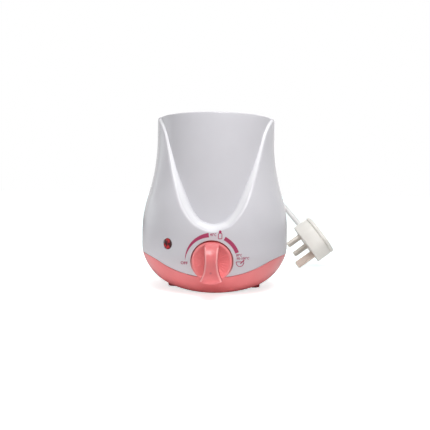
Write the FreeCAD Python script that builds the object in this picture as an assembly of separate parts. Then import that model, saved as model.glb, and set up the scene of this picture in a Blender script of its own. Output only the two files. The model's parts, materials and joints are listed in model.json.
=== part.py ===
import FreeCAD, Part
import math
import os

# A bottle warmer: a bell-shaped housing on a bowl-shaped base, a heated well, a front knob and a mains lead.
# Millimetres, +Z up, the front towards -Y. The origin is on the table, under the bell's axis.

V = FreeCAD.Vector
UP = V(0, 0, 1)

# Heating well
cup_radius = 42.0
cup_wall = 1.5
cup_floor = 54.0
cup_corner = 6.0
cup_gap = 0.8
flange_width = 5.0
flange_radius = cup_radius + flange_width
flange_sink = 1.0
gasket_thickness = 1.0
rabbet_gap = 0.2
deck_thickness = 3.5

# Bell and bowl
bell_radius = 65.0
rim_width = 5.2
rim_radius = flange_radius + rim_width
rim_height = 150.0
rim_round = 2.0
shoulder_low = 49.0
shoulder_high = 132.5
shoulder_round = 110.0
seam_height = 32.2
seam_dip = 15.7
seam_dip_round = 95.0
seam_gap = 0.2
bowl_top = 35.0
bowl_round = 43.7
bowl_lean = 11.0
bowl_bottom = 1.5
wall = 2.2

# Front scoop
scoop_land = 3.0
scoop_radius = flange_radius + scoop_land
scoop_low = 54.9
scoop_angle = 75.0
scoop_rise = 4.5
scoop_rise_angle = 19.0
scoop_wall_start = 4.0
scoop_curve = ((0, 0), (0.136, 0.043), (0.191, 0.084), (0.268, 0.165), (0.361, 0.29), (0.452, 0.4185),
               (0.54, 0.549), (0.653, 0.728), (0.711, 0.815), (0.767, 0.874), (0.84, 0.927),
               (0.933, 0.974), (1.04, 1.02))

# Heater under the well
plate_radius = 32.0
plate_thickness = 3.5
heater_length = 36.0
heater_width = 24.0
heater_thickness = 6.0
strap_width = 14.0
strap_thickness = 1.2
strap_gap = 0.3
strap_foot = 9.0
tube_radius = 2.5
tube_offset = 20.0
fuse_length = 14.0
bulb_length = 30.0
clip_width = 6.0
clip_foot = 7.0
clip_gap = 0.2

# Knob and thermostat
knob_height = 30.3
knob_radius = 16.3
knob_gap = 0.6
knob_back_gap = 0.6
knob_rim_sink = 0.5
knob_rim = bell_radius - knob_rim_sink
knob_dish = 3.0
knob_cavity_radius = 12.0
knob_cavity_depth = 4.0
grip_stand = 15.0
grip_reach = bell_radius + grip_stand
grip_top_width = 11.4
grip_waist_width = 8.8
grip_foot_width = 17.0
grip_inset = 0.4
grip_shoulder_back = 4.3
grip_shoulder_reach = grip_reach - grip_shoulder_back
grip_shoulder_rise = 10.1
grip_ridge_rise = 3.3
grip_hollow = 2.5
grip_hollow_drop = 7.3
grip_lip_drop = 14.7
grip_heel_back = 3.1
grip_heel_reach = grip_reach - grip_heel_back
recess_depth = 11.0
recess_floor = bell_radius - recess_depth
bush_radius = 4.5
bush_length = 5.2
bush_gap = 0.2
nut_width = 14.0
nut_thickness = 2.2
thermostat_width = 28.0
thermostat_height = 26.0
thermostat_depth = 16.0
spindle_radius = 3.0
spindle_fit = 0.05
spindle_flat = 2.0
spindle_in = 9.0
spindle_out = 15.0
spindle_reach = recess_floor + spindle_out
clip_strip_thickness = 0.6
clip_strip_width = 4.0
clip_strip_length = 8.0

# Indicator
lens_angle = 34.0
lens_height = 43.0
lens_radius = 4.5
lens_sink = 1.0
lens_proud = 0.4
lens_barrel_radius = 3.7
lens_barrel_length = 11.0
lens_barrel_back = bell_radius - lens_barrel_length
lens_gap = 0.1
lamp_ring_radius = 6.5
lamp_ring_thickness = 2.0
lamp_ring_gap = 0.35
lamp_radius = 2.4
lamp_length = 9.0
lamp_tail = 2.5

# Screws that join the base to the housing
boss_inset = 11.0
boss_circle = bell_radius - boss_inset
boss_angle = 20.0
boss_radius = 4.5
boss_bottom = 34.0
boss_top = 58.0
boss_rib = 3.0
post_radius = 5.0
counterbore_radius = 3.3
counterbore_top = 22.0
screw_radius = 1.5
screw_gap = 0.05
screw_head_radius = 2.8
screw_head_height = 2.0
screw_length = 22.0
short_screw_length = 9.0
heater_screw_length = 4.5

# Feet
side_foot_inset = 29.0
side_foot_circle = bell_radius - side_foot_inset
front_foot_inset = 39.0
front_foot_circle = bell_radius - front_foot_inset
foot_radius = 5.5
foot_height = 8.0
foot_glue = 0.1

# Mains entry
cord_radius = 3.0
entry_height = 20.0
relief_stand = 15.0
relief_reach = bell_radius + relief_stand
relief_tip_radius = 4.0
relief_root_radius = 6.0
relief_collar_radius = 7.0
relief_collar_length = 2.4
relief_neck_radius = 5.5
relief_neck_gap = 0.1
relief_flange_radius = 8.0
relief_flange_length = 2.0
relief_flange_gap = 0.2
cord_past_clamp = 3.0
clamp_width = 24.0
clamp_depth = 8.0
clamp_inset = 25.0
clamp_centre = bell_radius - clamp_inset
clamp_top = 27.0
clamp_split = 0.4
clamp_screw_offset = 8.5
block_length = 30.0
block_width = 14.0
block_height = 12.0
block_centre = 14.0
lead_radius = 1.1
lamp_lead_radius = 0.6
lead_stub = 5.0
lead_space = 2.5

# Coiled spare cord behind the object
coil_outer = 38.0
coil_pitch = 6.6
coil_base = 3.9
coil_turns_in = 2.25
coil_turns_out = 2.0
coil_dip = 1.3
tie_thickness = 0.6
tie_width = 9.0
tie_gap = 0.25

# Three-pin plug
plug_tilt = 36.9
plug_roll = 44.0
plug_foot_x = 94.5
plug_behind = 49.5
plug_foot_y = relief_reach + plug_behind
plug_half_length = 22.0
plug_half_width = 22.5
plug_end_half_width = 11.5
plug_corner = 13.0
plug_depth = 18.0
plug_cover_depth = 4.0
plug_groove = 0.8
plug_groove_width = 0.6
plug_wall = 2.6
plug_face = 3.0
pin_row = -8.0
pin_pitch = 22.23
pin_width = 6.35
pin_thickness = 4.0
pin_length = 17.7
earth_width = 8.0
earth_length = 22.73
pin_root = 4.0
pin_shoulder = 1.0
pin_tip = 1.0
pin_gap = 0.05
plug_fuse_radius = 3.15
plug_fuse_length = 25.4
carrier_length = 26.0
carrier_width = 8.0
carrier_centre = -6.0
carrier_gap = 0.1
sleeve_length = 7.0
sleeve_root_radius = 5.4
sleeve_tip_radius = 4.2


def outline(place, start, *steps):
    """A flat face: each step goes on to a point, or through a middle point along an arc to a point."""
    edges = []
    here = start
    for *middle, end in steps:
        if middle:
            edges.append(Part.Arc(place(*here), place(*middle[0]), place(*end)).toShape())
        else:
            edges.append(Part.LineSegment(place(*here), place(*end)).toShape())
        here = end
    if math.dist(here, start) > 1e-6:
        edges.append(Part.LineSegment(place(*here), place(*start)).toShape())
    return Part.Face(Part.Wire(edges))


def side_view(r, z):
    return V(r, 0, z)


def turned(start, *steps):
    """A solid of revolution about the bell's axis from radius and height points."""
    return outline(side_view, start, *steps).revolve(V(0, 0, 0), UP, 360)


def rod(radius, start, end):
    """A round bar between two points."""
    return Part.makeCylinder(radius, (end - start).Length, start, end - start)


def block(low, high):
    return Part.makeBox(*(high - low), low)


def arc_middle(centre_r, centre_z, radius, first, last):
    """The point half way along an arc whose ends are given as angles in degrees."""
    angle = math.radians((first + last) / 2)
    return centre_r + radius * math.cos(angle), centre_z + radius * math.sin(angle)


def tangent_pair(across, along, first_radius):
    """Turn and second radius of two arcs that join two parallel lines, tangent all the way."""
    turn = 2 * math.atan2(across, along)
    return turn, along / math.sin(turn) - first_radius


def around(radius, angle, height=0.0):
    """A point at a radius and at an angle from the +X axis."""
    return V(radius * math.cos(math.radians(angle)), radius * math.sin(math.radians(angle)), height)


# Outline shared by the housing and the base
shoulder_turn, waist_round = tangent_pair(
    bell_radius - rim_radius, shoulder_high - shoulder_low, shoulder_round)
bowl_axis_r = bell_radius - bowl_round * math.cos(math.radians(bowl_lean))
bowl_axis_z = bowl_top + bowl_round * math.sin(math.radians(bowl_lean))


def bowl_radius_at(height, inset=0.0):
    return bowl_axis_r + math.sqrt((bowl_round - inset) ** 2 - (bowl_axis_z - height) ** 2)


def body_solid(inset, top, top_round=0.0):
    """The bell and bowl as one turned solid, moved inwards by inset and closed at a flat top."""
    side = bell_radius - inset
    neck = rim_radius - inset
    round_in = bowl_round - inset
    floor = bowl_bottom + inset
    join = bowl_axis_z - math.sqrt(round_in ** 2 - (side - bowl_axis_r) ** 2)
    floor_angle = math.degrees(math.asin((floor - bowl_axis_z) / round_in))
    join_angle = math.degrees(math.asin((join - bowl_axis_z) / round_in))
    swell = shoulder_round - inset
    dip = waist_round + inset
    half = math.degrees(shoulder_turn) / 2
    bend = (bell_radius - shoulder_round + swell * math.cos(shoulder_turn),
            shoulder_low + swell * math.sin(shoulder_turn))
    steps = [
        ((bowl_radius_at(floor, inset), floor),),
        (arc_middle(bowl_axis_r, bowl_axis_z, round_in, floor_angle, join_angle), (side, join)),
        ((side, shoulder_low),),
        (arc_middle(bell_radius - shoulder_round, shoulder_low, swell, half, half), bend),
        (arc_middle(rim_radius + waist_round, shoulder_high, dip, 180 + half, 180 + half),
         (neck, shoulder_high)),
    ]
    if top_round:
        corner = arc_middle(neck - top_round, top - top_round, top_round, 0, 90)
        steps += [((neck, top - top_round),), (corner, (neck - top_round, top))]
    else:
        steps += [((neck, top),)]
    return turned((0, floor), *steps, ((0, top),))


def scoop_edge(grow):
    """Angle and height along the scoop's edge, moved outwards by grow on the unrolled bell."""
    half = [(math.radians(scoop_angle * a), scoop_low + (rim_height - scoop_low) * h) for a, h in scoop_curve]
    edge = [(-a, z) for a, z in half[:0:-1]] + half
    moved = []
    for k, (angle, z) in enumerate(edge):
        before, after = edge[max(k - 1, 0)], edge[min(k + 1, len(edge) - 1)]
        along = (after[0] - before[0]) * scoop_radius
        up = after[1] - before[1]
        reach = grow / math.hypot(along, up)
        moved.append((angle + reach * up / scoop_radius, z - reach * along))
    return moved


def scoop_mouth(grow, distance):
    """The scoop's outline on an upright plane in front of the axis; its floor climbs towards the axis."""
    points = []
    for angle, z in scoop_edge(grow):
        out = distance / math.cos(angle)
        share = max(0, 1 - abs(math.degrees(angle)) / scoop_rise_angle)
        climb = scoop_rise * share * (bell_radius - out) / (bell_radius - scoop_radius)
        points.append(V(distance * math.tan(angle), -distance, z + climb))
    curve = Part.BSplineCurve()
    curve.interpolate(Points=points, Parameters=[float(k) for k in range(len(points))])
    return Part.Wire([curve.toShape(), Part.LineSegment(points[-1], points[0]).toShape()])


def scoop_cutter(grow, top, top_round=0.0):
    """What the front scoop takes away: its walls run towards the bell's axis, down to a round face."""
    mouths = [scoop_mouth(grow, bell_radius + wall), scoop_mouth(grow, scoop_wall_start)]
    prism = Part.makeLoft(mouths, True, True)
    face = scoop_radius - grow
    steps = [((face, 0),)]
    if top_round:
        corner = arc_middle(face - top_round, top - top_round, top_round, 0, 90)
        steps += [((face, top - top_round),), (corner, (face - top_round, top))]
    else:
        steps += [((face, top),)]
    return prism.cut(turned((0, 0), *steps, ((0, top),)))


def below_seam(lowered):
    """Everything under the seam, which is level at the back and dips in a soft curve at the front."""
    turn, end_round = tangent_pair(seam_dip, bell_radius, seam_dip_round)
    level = seam_height - lowered
    lowest = level - seam_dip
    bend = (seam_dip_round * math.sin(turn), lowest + seam_dip_round * (1 - math.cos(turn)))
    half = turn / 2
    crest = (bell_radius - end_round * math.sin(half), level - end_round * (1 - math.cos(half)))
    clear = bell_radius + 2 * wall
    front = outline(
        lambda x, z: V(x, -clear, z),
        (-clear, -clear), ((clear, -clear),), ((clear, level),), ((bell_radius, level),),
        (crest, bend), ((0, lowest), (-bend[0], bend[1])),
        ((-crest[0], crest[1]), (-bell_radius, level)), ((-clear, level),))
    back = block(V(-clear, 0, -clear), V(clear, clear, level))
    return front.extrude(V(0, clear, 0)).fuse(back)


deck_top = rim_height - flange_sink - cup_wall - gasket_thickness
deck_under = deck_top - deck_thickness
body_outer = body_solid(0, rim_height, rim_round).cut(scoop_cutter(0, rim_height, rim_round))
body_hollow = body_solid(wall, deck_under).cut(scoop_cutter(wall, deck_under))
body_shell = body_outer.cut(body_hollow)
base_space = below_seam(seam_gap / 2)
housing_space = below_seam(-seam_gap / 2)

# Knob recess: a round pocket in the front wall, shared by the housing and the base
recess_radius = knob_radius + knob_gap
knob_axis_at = lambda y: V(0, y, knob_height)
front_clear = -bell_radius - wall
panel_back = -(recess_floor - wall)
recess_pot = rod(recess_radius + wall, knob_axis_at(panel_back), knob_axis_at(front_clear)).common(body_outer)
recess_hole = rod(recess_radius, knob_axis_at(-recess_floor), knob_axis_at(front_clear))

boss_angles = [boss_angle, 180 - boss_angle, 180 + boss_angle, -boss_angle]
boss_hole_top = counterbore_top + screw_length + 2 * screw_radius


def upright(radius, angle, low, high):
    """An upright round bar on the circle of the housing screws."""
    return rod(radius, around(boss_circle, angle, low), around(boss_circle, angle, high))


# Outer housing
lens_way = around(1, 270 - lens_angle)
lens_at = lambda distance: lens_way * distance + V(0, 0, lens_height)
bosses = []
for angle in boss_angles:
    bosses.append(upright(boss_radius, angle, boss_bottom, boss_top))
    rib = block(V(boss_circle, -boss_rib / 2, boss_bottom), V(bell_radius, boss_rib / 2, boss_top))
    rib.rotate(V(0, 0, 0), UP, angle)
    bosses.append(rib.common(body_outer).cut(housing_space))
housing = body_shell.cut(housing_space).fuse(recess_pot.cut(housing_space)).fuse(bosses)
housing = housing.cut([
    recess_hole,
    rod(bush_radius + bush_gap, knob_axis_at(panel_back + wall), knob_axis_at(-recess_floor - wall)),
    rod(cup_radius + cup_wall + cup_gap, V(0, 0, deck_under - wall), V(0, 0, rim_height + wall)),
    rod(flange_radius + rabbet_gap, V(0, 0, deck_top), V(0, 0, rim_height + wall)),
    rod(lens_radius + lens_gap, lens_at(bell_radius - lens_sink), lens_at(bell_radius + wall)),
    rod(lens_barrel_radius + lens_gap, lens_at(lens_barrel_back), lens_at(bell_radius + wall)),
] + [upright(screw_radius + screw_gap, angle, boss_bottom - wall, boss_hole_top) for angle in boss_angles])

# Base cover
floor_top = bowl_bottom + wall
posts = []
for angle in boss_angles:
    posts.append(upright(post_radius, angle, bowl_bottom, boss_bottom).common(body_outer))
cord_line = lambda y: V(0, y, entry_height)
relief_flange_front = bowl_radius_at(entry_height - relief_flange_radius, wall) - relief_flange_gap
relief_flange_back = relief_flange_front - relief_flange_length
clamp_front = clamp_centre - clamp_depth / 2
clamp_back = clamp_centre + clamp_depth / 2
inner_cord_end = clamp_front - cord_past_clamp
clamp_post = block(V(-clamp_width / 2, clamp_front, bowl_bottom),
                  V(clamp_width / 2, clamp_back, entry_height - clamp_split / 2))
posts.append(clamp_post.common(body_outer))
cord_bore = rod(cord_radius + screw_gap, cord_line(clamp_front - wall), cord_line(clamp_back + wall))
base = body_shell.common(base_space).fuse(recess_pot.common(base_space)).fuse(posts)
relief_hole = rod(relief_neck_radius + relief_neck_gap, cord_line(relief_flange_back),
                  cord_line(bell_radius + wall))
clamp_holes = [V(x, clamp_centre, clamp_top) for x in (-clamp_screw_offset, clamp_screw_offset)]
clamp_pilots = [rod(screw_radius + screw_gap, p, p - UP * screw_length) for p in clamp_holes]
counterbores = [upright(counterbore_radius, angle, 0, counterbore_top) for angle in boss_angles]
screw_holes = [upright(screw_radius + screw_gap, angle, 0, boss_top) for angle in boss_angles]
base = base.cut([recess_hole, cord_bore, relief_hole] + clamp_pilots + counterbores + screw_holes)


def screw(head_at, way, length):
    """A pan-head screw whose head sits on head_at, with its shank along way."""
    shank = rod(screw_radius, head_at, head_at + way * length)
    return shank.fuse(rod(screw_head_radius, head_at - way * screw_head_height, head_at))


base_screws = [screw(around(boss_circle, a, counterbore_top), UP, screw_length) for a in boss_angles]

# Feet follow the bowl above them
bowl_grown = body_solid(-foot_glue, rim_height)
feet = []
foot_places = [(side_foot_circle, 0), (side_foot_circle, 180),
               (front_foot_circle, 90), (front_foot_circle, 270)]
for circle, angle in foot_places:
    pad = rod(foot_radius, around(circle, angle), around(circle, angle, foot_height))
    feet.append(pad.cut(bowl_grown))

# Heating well with its gasket
cup_outer = cup_radius + cup_wall
cup_under = cup_floor - cup_wall
flange_top = rim_height - flange_sink
flange_under = flange_top - cup_wall
round_out = cup_corner + cup_wall
cup = turned(
    (0, cup_under), ((cup_outer - round_out, cup_under),),
    (arc_middle(cup_outer - round_out, cup_under + round_out, round_out, -90, 0),
     (cup_outer, cup_under + round_out)),
    ((cup_outer, flange_under),), ((flange_radius, flange_under),), ((flange_radius, flange_top),),
    ((cup_radius, flange_top),), ((cup_radius, cup_floor + cup_corner),),
    (arc_middle(cup_radius - cup_corner, cup_floor + cup_corner, cup_corner, -90, 0),
     (cup_radius - cup_corner, cup_floor)),
    ((0, cup_floor),))
gasket_inner = cup_outer + cup_gap
gasket = turned((gasket_inner, deck_top), ((flange_radius, deck_top),), ((flange_radius, flange_under),),
                ((gasket_inner, flange_under),))

# Heater plate, heater and the strap that holds it up
plate_under = cup_under - plate_thickness
heater_under = plate_under - heater_thickness
strap_under = heater_under - strap_thickness
leg_in = heater_length / 2 + strap_gap
leg_out = leg_in + strap_thickness
foot_end = leg_out + strap_foot
heater_screw_x = leg_out + strap_foot / 2
clip_half = tube_radius + clip_gap
clip_hole_x = clip_half + strap_thickness + clip_foot / 2
heater_screw_places = [(heater_screw_x, 0), (-heater_screw_x, 0),
                       (0, tube_offset + clip_hole_x), (0, -tube_offset - clip_hole_x)]
screw_seat = plate_under - strap_thickness
plate = rod(plate_radius, V(0, 0, plate_under), V(0, 0, cup_under))
plate = plate.cut([rod(screw_radius + screw_gap, V(x, y, plate_under), V(x, y, cup_under - screw_gap))
                   for x, y in heater_screw_places])
heater = block(V(-heater_length / 2, -heater_width / 2, heater_under),
               V(heater_length / 2, heater_width / 2, plate_under))
strap = block(V(-leg_out, -strap_width / 2, strap_under), V(leg_out, strap_width / 2, heater_under))
for side in (-1, 1):
    inner, outer = sorted((side * leg_in, side * leg_out))
    strap = strap.fuse(block(V(inner, -strap_width / 2, strap_under), V(outer, strap_width / 2, plate_under)))
    inner, outer = sorted((side * leg_in, side * foot_end))
    strap = strap.fuse(block(V(inner, -strap_width / 2, screw_seat), V(outer, strap_width / 2, plate_under)))
strap = strap.cut([rod(screw_radius + screw_gap, V(x, y, screw_seat - wall), V(x, y, plate_under))
                   for x, y in heater_screw_places[:2]])
heater_screws = [screw(V(x, y, screw_seat), UP, heater_screw_length) for x, y in heater_screw_places]

# Thermal fuse and sensing bulb, each clipped to the plate
tube_height = plate_under - tube_radius
thermal_fuse = rod(tube_radius, V(-fuse_length / 2, tube_offset, tube_height),
                   V(fuse_length / 2, tube_offset, tube_height))
bulb = rod(tube_radius, V(-bulb_length / 2, -tube_offset, tube_height),
           V(bulb_length / 2, -tube_offset, tube_height))
clips = []
for side in (-1, 1):
    crown = clip_half + strap_thickness
    line = lambda x: V(x, side * tube_offset, tube_height)
    saddle = rod(crown, line(-clip_width / 2), line(clip_width / 2))
    saddle = saddle.fuse(block(V(-clip_width / 2, side * tube_offset - crown, tube_height),
                               V(clip_width / 2, side * tube_offset + crown, plate_under)))
    near, far = sorted((side * tube_offset, side * (tube_offset + crown + clip_foot)))
    saddle = saddle.fuse(block(V(-clip_width / 2, near, screw_seat), V(clip_width / 2, far, plate_under)))
    hollow = rod(clip_half, line(-clip_width), line(clip_width))
    hollow = hollow.fuse(block(V(-clip_width, side * tube_offset - clip_half, tube_height),
                               V(clip_width, side * tube_offset + clip_half, plate_under)))
    hole_y = side * (tube_offset + clip_hole_x)
    above_plate = block(V(-clip_width, -bell_radius, plate_under), V(clip_width, bell_radius, cup_floor))
    hole = rod(screw_radius + screw_gap, V(0, hole_y, screw_seat - wall), V(0, hole_y, plate_under))
    saddle = saddle.cut([hollow, above_plate, hole])
    clips.append(saddle)

# Thermostat behind the panel, held by the nut on its threaded bush
thermostat_back = panel_back + thermostat_depth
thermostat = block(V(-thermostat_width / 2, panel_back, knob_height - thermostat_height / 2),
                   V(thermostat_width / 2, thermostat_back, knob_height + thermostat_height / 2))
bush_end = panel_back - bush_length
thermostat = thermostat.fuse(rod(bush_radius, knob_axis_at(panel_back), knob_axis_at(bush_end)))
spindle_back = panel_back + spindle_in
thermostat = thermostat.cut(rod(spindle_radius + spindle_fit, knob_axis_at(spindle_back + spindle_fit),
                                knob_axis_at(bush_end)))
nut_corner = nut_width / 2 / math.cos(math.pi / 6)
nut_ring = [knob_axis_at(-recess_floor) + V(nut_corner * math.cos(math.radians(60 * k)), 0,
                                            nut_corner * math.sin(math.radians(60 * k))) for k in range(7)]
nut = Part.Face(Part.makePolygon(nut_ring)).extrude(V(0, -nut_thickness, 0))
nut = nut.cut(rod(bush_radius + screw_gap, knob_axis_at(0), knob_axis_at(bush_end)))
flat_start = bush_end - screw_gap
flat_cut = block(V(-spindle_radius, -spindle_reach, knob_height + spindle_flat),
                 V(spindle_radius, flat_start, knob_height + 2 * spindle_radius))
spindle = rod(spindle_radius, knob_axis_at(spindle_back), knob_axis_at(-spindle_reach)).cut(flat_cut)

# Knob: a dished disc with a waisted grip bar, hollow behind for the nut
knob_back = -(recess_floor + knob_back_gap)
disc = outline(lambda r, y: V(r, y, knob_height),
               (0, knob_back), ((knob_radius, knob_back),), ((knob_radius, -knob_rim + rim_round),),
               (arc_middle(knob_radius - rim_round, -knob_rim + rim_round, rim_round, 0, -90),
                (knob_radius - rim_round, -knob_rim)), ((0, -knob_rim + knob_dish),))
disc = disc.revolve(knob_axis_at(0), V(0, 1, 0), 360)
tip = knob_radius - grip_inset
top_z = knob_height + math.sqrt(tip ** 2 - (grip_top_width / 2) ** 2)
foot_z = knob_height - math.sqrt(tip ** 2 - (grip_foot_width / 2) ** 2)
bar_front = outline(lambda x, z: V(x, knob_back, z),
                    (-grip_top_width / 2, top_z), ((0, knob_height + tip), (grip_top_width / 2, top_z)),
                    ((grip_waist_width / 2, knob_height), (grip_foot_width / 2, foot_z)),
                    ((0, knob_height - tip), (-grip_foot_width / 2, foot_z)),
                    ((-grip_waist_width / 2, knob_height), (-grip_top_width / 2, top_z)))
bar_front = bar_front.extrude(V(0, -grip_reach - knob_back, 0))
grip_high = knob_height + knob_radius
grip_low = knob_height - knob_radius
bar_side = outline(lambda y, z: V(-knob_radius, y, z),
                   (knob_back, grip_low), ((knob_back, grip_high),), ((-knob_rim, grip_high),),
                   ((-grip_shoulder_reach, knob_height + grip_shoulder_rise),
                    (-grip_reach, knob_height + grip_ridge_rise)),
                   ((-grip_reach + grip_hollow, knob_height - grip_hollow_drop),
                    (-grip_reach, knob_height - grip_lip_drop)),
                   ((-grip_heel_reach, grip_low),))
bar = bar_front.common(bar_side.extrude(V(2 * knob_radius, 0, 0)))
knob = disc.fuse(bar)
cavity = rod(knob_cavity_radius, knob_axis_at(knob_back), knob_axis_at(knob_back - knob_cavity_depth))
hub_back = bush_end - knob_back_gap
spindle_hole = rod(spindle_radius + screw_gap, knob_axis_at(knob_back),
                   knob_axis_at(-spindle_reach - screw_gap))
strip_low = knob_height + spindle_flat
strip_high = strip_low + clip_strip_thickness
strip_front = -spindle_reach + screw_gap
strip_slot = block(V(-clip_strip_width / 2 - screw_gap, strip_front - 2 * screw_gap, strip_low),
                   V(clip_strip_width / 2 + screw_gap, knob_back, strip_high + screw_gap))
flat_key = block(V(-spindle_radius - screw_gap, -spindle_reach - screw_gap, strip_high + screw_gap),
                 V(spindle_radius + screw_gap, hub_back, knob_height + 2 * spindle_radius))
knob = knob.cut([cavity, spindle_hole.cut(flat_key), strip_slot])
knob_clip = block(V(-clip_strip_width / 2, strip_front, strip_low + screw_gap / 2),
                  V(clip_strip_width / 2, strip_front + clip_strip_length, strip_high))

# Indicator lens, its ring and the neon lamp inside it
lens_seat = bell_radius - lens_sink
lens = rod(lens_radius, lens_at(lens_seat), lens_at(bell_radius + lens_proud))
lens = lens.fuse(rod(lens_barrel_radius, lens_at(lens_barrel_back), lens_at(lens_seat)))
lamp_front = lens_barrel_back + lamp_length - lamp_tail
lens = lens.cut(rod(lamp_radius + lens_gap, lens_at(lens_barrel_back), lens_at(lamp_front + lens_gap)))
ring_front = math.sqrt((bell_radius - wall) ** 2 - lamp_ring_radius ** 2) - lamp_ring_gap
lamp_ring = rod(lamp_ring_radius, lens_at(ring_front - lamp_ring_thickness), lens_at(ring_front))
ring_hole = rod(lens_barrel_radius + screw_gap, lens_at(lens_barrel_back), lens_at(bell_radius))
lamp_ring = lamp_ring.cut(ring_hole)
lamp_back = lens_barrel_back - lamp_tail
lamp = rod(lamp_radius, lens_at(lamp_back), lens_at(lamp_front))

# Strain relief: an inner flange, a neck through the wall, an outer collar and a tapered tail
relief_seat = bowl_radius_at(entry_height + relief_collar_radius) + seam_gap
relief = outline(lambda r, y: V(r, y, 0),
                 (0, relief_flange_back), ((relief_flange_radius, relief_flange_back),),
                 ((relief_flange_radius, relief_flange_front),),
                 ((relief_neck_radius, relief_flange_front),),
                 ((relief_neck_radius, relief_seat),), ((relief_collar_radius, relief_seat),),
                 ((relief_collar_radius, relief_seat + relief_collar_length),),
                 ((relief_root_radius, relief_seat + relief_collar_length),),
                 ((relief_tip_radius, relief_reach),), ((0, relief_reach),))
relief = relief.revolve(V(0, 0, 0), V(0, 1, 0), 360)
relief.translate(V(0, 0, entry_height))

# Cord grip, inner end of the cord and the terminal block
inner_cord = rod(cord_radius, cord_line(inner_cord_end), cord_line(relief_flange_back))
clamp = block(V(-clamp_width / 2, clamp_front, entry_height + clamp_split / 2),
             V(clamp_width / 2, clamp_back, clamp_top))
clamp = clamp.cut([cord_bore] + clamp_pilots)
clamp_screws = [screw(p, -UP, short_screw_length) for p in clamp_holes]
block_top = floor_top + block_height
terminals = block(V(-block_length / 2, block_centre - block_width / 2, floor_top),
                  V(block_length / 2, block_centre + block_width / 2, block_top))


def route(points):
    """A path of straight runs joined by tangent arcs, each as large as its shorter run allows."""
    share = 0.45
    edges = []
    radii = []
    here = points[0]
    for before, corner, after in zip(points, points[1:], points[2:]):
        way_in = (corner - before).normalize()
        way_out = (after - corner).normalize()
        half = way_in.getAngle(way_out) / 2
        reach = share * min((corner - before).Length, (after - corner).Length)
        radius = reach / math.tan(half)
        inwards = (way_out - way_in).normalize()
        middle = corner + inwards * (radius / math.cos(half) - radius)
        start, end = corner - way_in * reach, corner + way_out * reach
        edges.append(Part.LineSegment(here, start).toShape())
        edges.append(Part.Arc(start, middle, end).toShape())
        radii.append(radius)
        here = end
    edges.append(Part.LineSegment(here, points[-1]).toShape())
    return Part.Wire(edges), radii


def pipe(wire, radius, start, way):
    ring = Part.Wire(Part.Circle(start, way, radius).toShape())
    return Part.Solid(wire.makePipeShell([ring], True, False))


def tube(points, radius):
    wire, radii = route(points)
    solid = pipe(wire, radius, points[0], points[1] - points[0])
    return solid, wire, radii


def leads(radius, *routes):
    return [tube([V(*p) for p in points], radius)[0] for points in routes]


# Internal leads, from the cord to the terminals and on to the thermostat, fuse, heater and lamp
heater_side = heater_length / 2
heater_mid = (heater_under + plate_under) / 2
lead_y = strap_width / 2 + lead_space
fuse_end = fuse_length / 2
bulb_end = bulb_length / 2
rear = thermostat_back
stub = block_top + lead_stub
cord_core = cord_radius / 2
lead_start = inner_cord_end - lead_stub
mains_leads = leads(lead_radius, *[
    ((side * cord_core, inner_cord_end, entry_height),
     (side * cord_core, lead_start, entry_height),
     (side * 4, (lead_start + block_centre) / 2, 23),
     (side * 5.5, block_centre, stub), (side * 5.5, block_centre, block_top))
    for side in (-1, 1)])
heater_leads = leads(
    lead_radius,
    ((-10, block_centre, block_top), (-10, block_centre, stub), (-10, 4, 28), (-10, -10, 31),
     (-10, rear + lead_stub, 31.5), (-10, rear, 31.5)),
    ((8, rear, 34), (8, rear + lead_stub, 34), (20, -18, 36), (23, 0, 37), (22, 14, 40),
     (fuse_end + lead_stub, tube_offset, tube_height), (fuse_end, tube_offset, tube_height)),
    ((-fuse_end, tube_offset, tube_height), (-fuse_end - lead_stub, tube_offset, tube_height),
     (-22, 18.5, 46.3), (-26, 14, 46),
     (-heater_side - lead_stub, lead_y, heater_mid), (-heater_side, lead_y, heater_mid)),
    ((heater_side, lead_y, heater_mid), (heater_side + lead_stub, lead_y, heater_mid),
     (29, 9.5, 40), (28, 10, 28), (18, 13, 24), (10, block_centre, stub), (10, block_centre, block_top)))
lamp_tab = knob_axis_at((panel_back + rear) / 2) + V(-thermostat_width / 2, 0, thermostat_height / 4)
lamp_leads = leads(lamp_lead_radius, *[
    (lens_at(lamp_back) + UP * rise, lens_at(lamp_back - lead_stub) + UP * rise,
     lamp_tab + UP * 2 * rise - V(lead_stub / 2, 0, 0), lamp_tab + UP * 2 * rise)
    for rise in (-lamp_radius / 2, lamp_radius / 2)])
tube_back = rear + 1.5 * lead_stub
capillary = leads(
    lamp_lead_radius,
    ((-bulb_end, -tube_offset, tube_height), (-bulb_end - lead_stub, -tube_offset, tube_height),
     (-23, (tube_back - tube_offset) / 2, 44), (-20, tube_back, 42), (-10, tube_back, 38),
     (-5, rear + lead_stub, 36.5), (-5, rear, 36.5)))

# Plug: its long axis points to the earth pin, its cross axis lies along the line pins, its back is up
tilt, roll = math.radians(plug_tilt), math.radians(plug_roll)
pin_way = V(-math.cos(tilt), 0, -math.sin(tilt))
level_axis = V(math.sin(tilt), 0, -math.cos(tilt))
long_axis = level_axis * math.cos(roll) - V(0, 1, 0) * math.sin(roll)
cross_axis = long_axis.cross(pin_way)
earth_row = pin_row + pin_pitch
earth_tip = [
    long_axis * (earth_row + s * (earth_width / 2 - cut)) + cross_axis * (t * (pin_thickness / 2 - cut))
    + pin_way * (earth_length - pin_tip + cut) for s in (-1, 1) for t in (-1, 1) for cut in (0, pin_tip)]
lowest_tip = min(earth_tip, key=lambda corner: corner.z)
plug_centre = V(plug_foot_x, plug_foot_y, 0) - lowest_tip
back_way = -pin_way
plug_place = FreeCAD.Placement(FreeCAD.Matrix(
    long_axis.x, cross_axis.x, back_way.x, plug_centre.x,
    long_axis.y, cross_axis.y, back_way.y, plug_centre.y,
    long_axis.z, cross_axis.z, back_way.z, plug_centre.z,
    0, 0, 0, 1))


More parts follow.
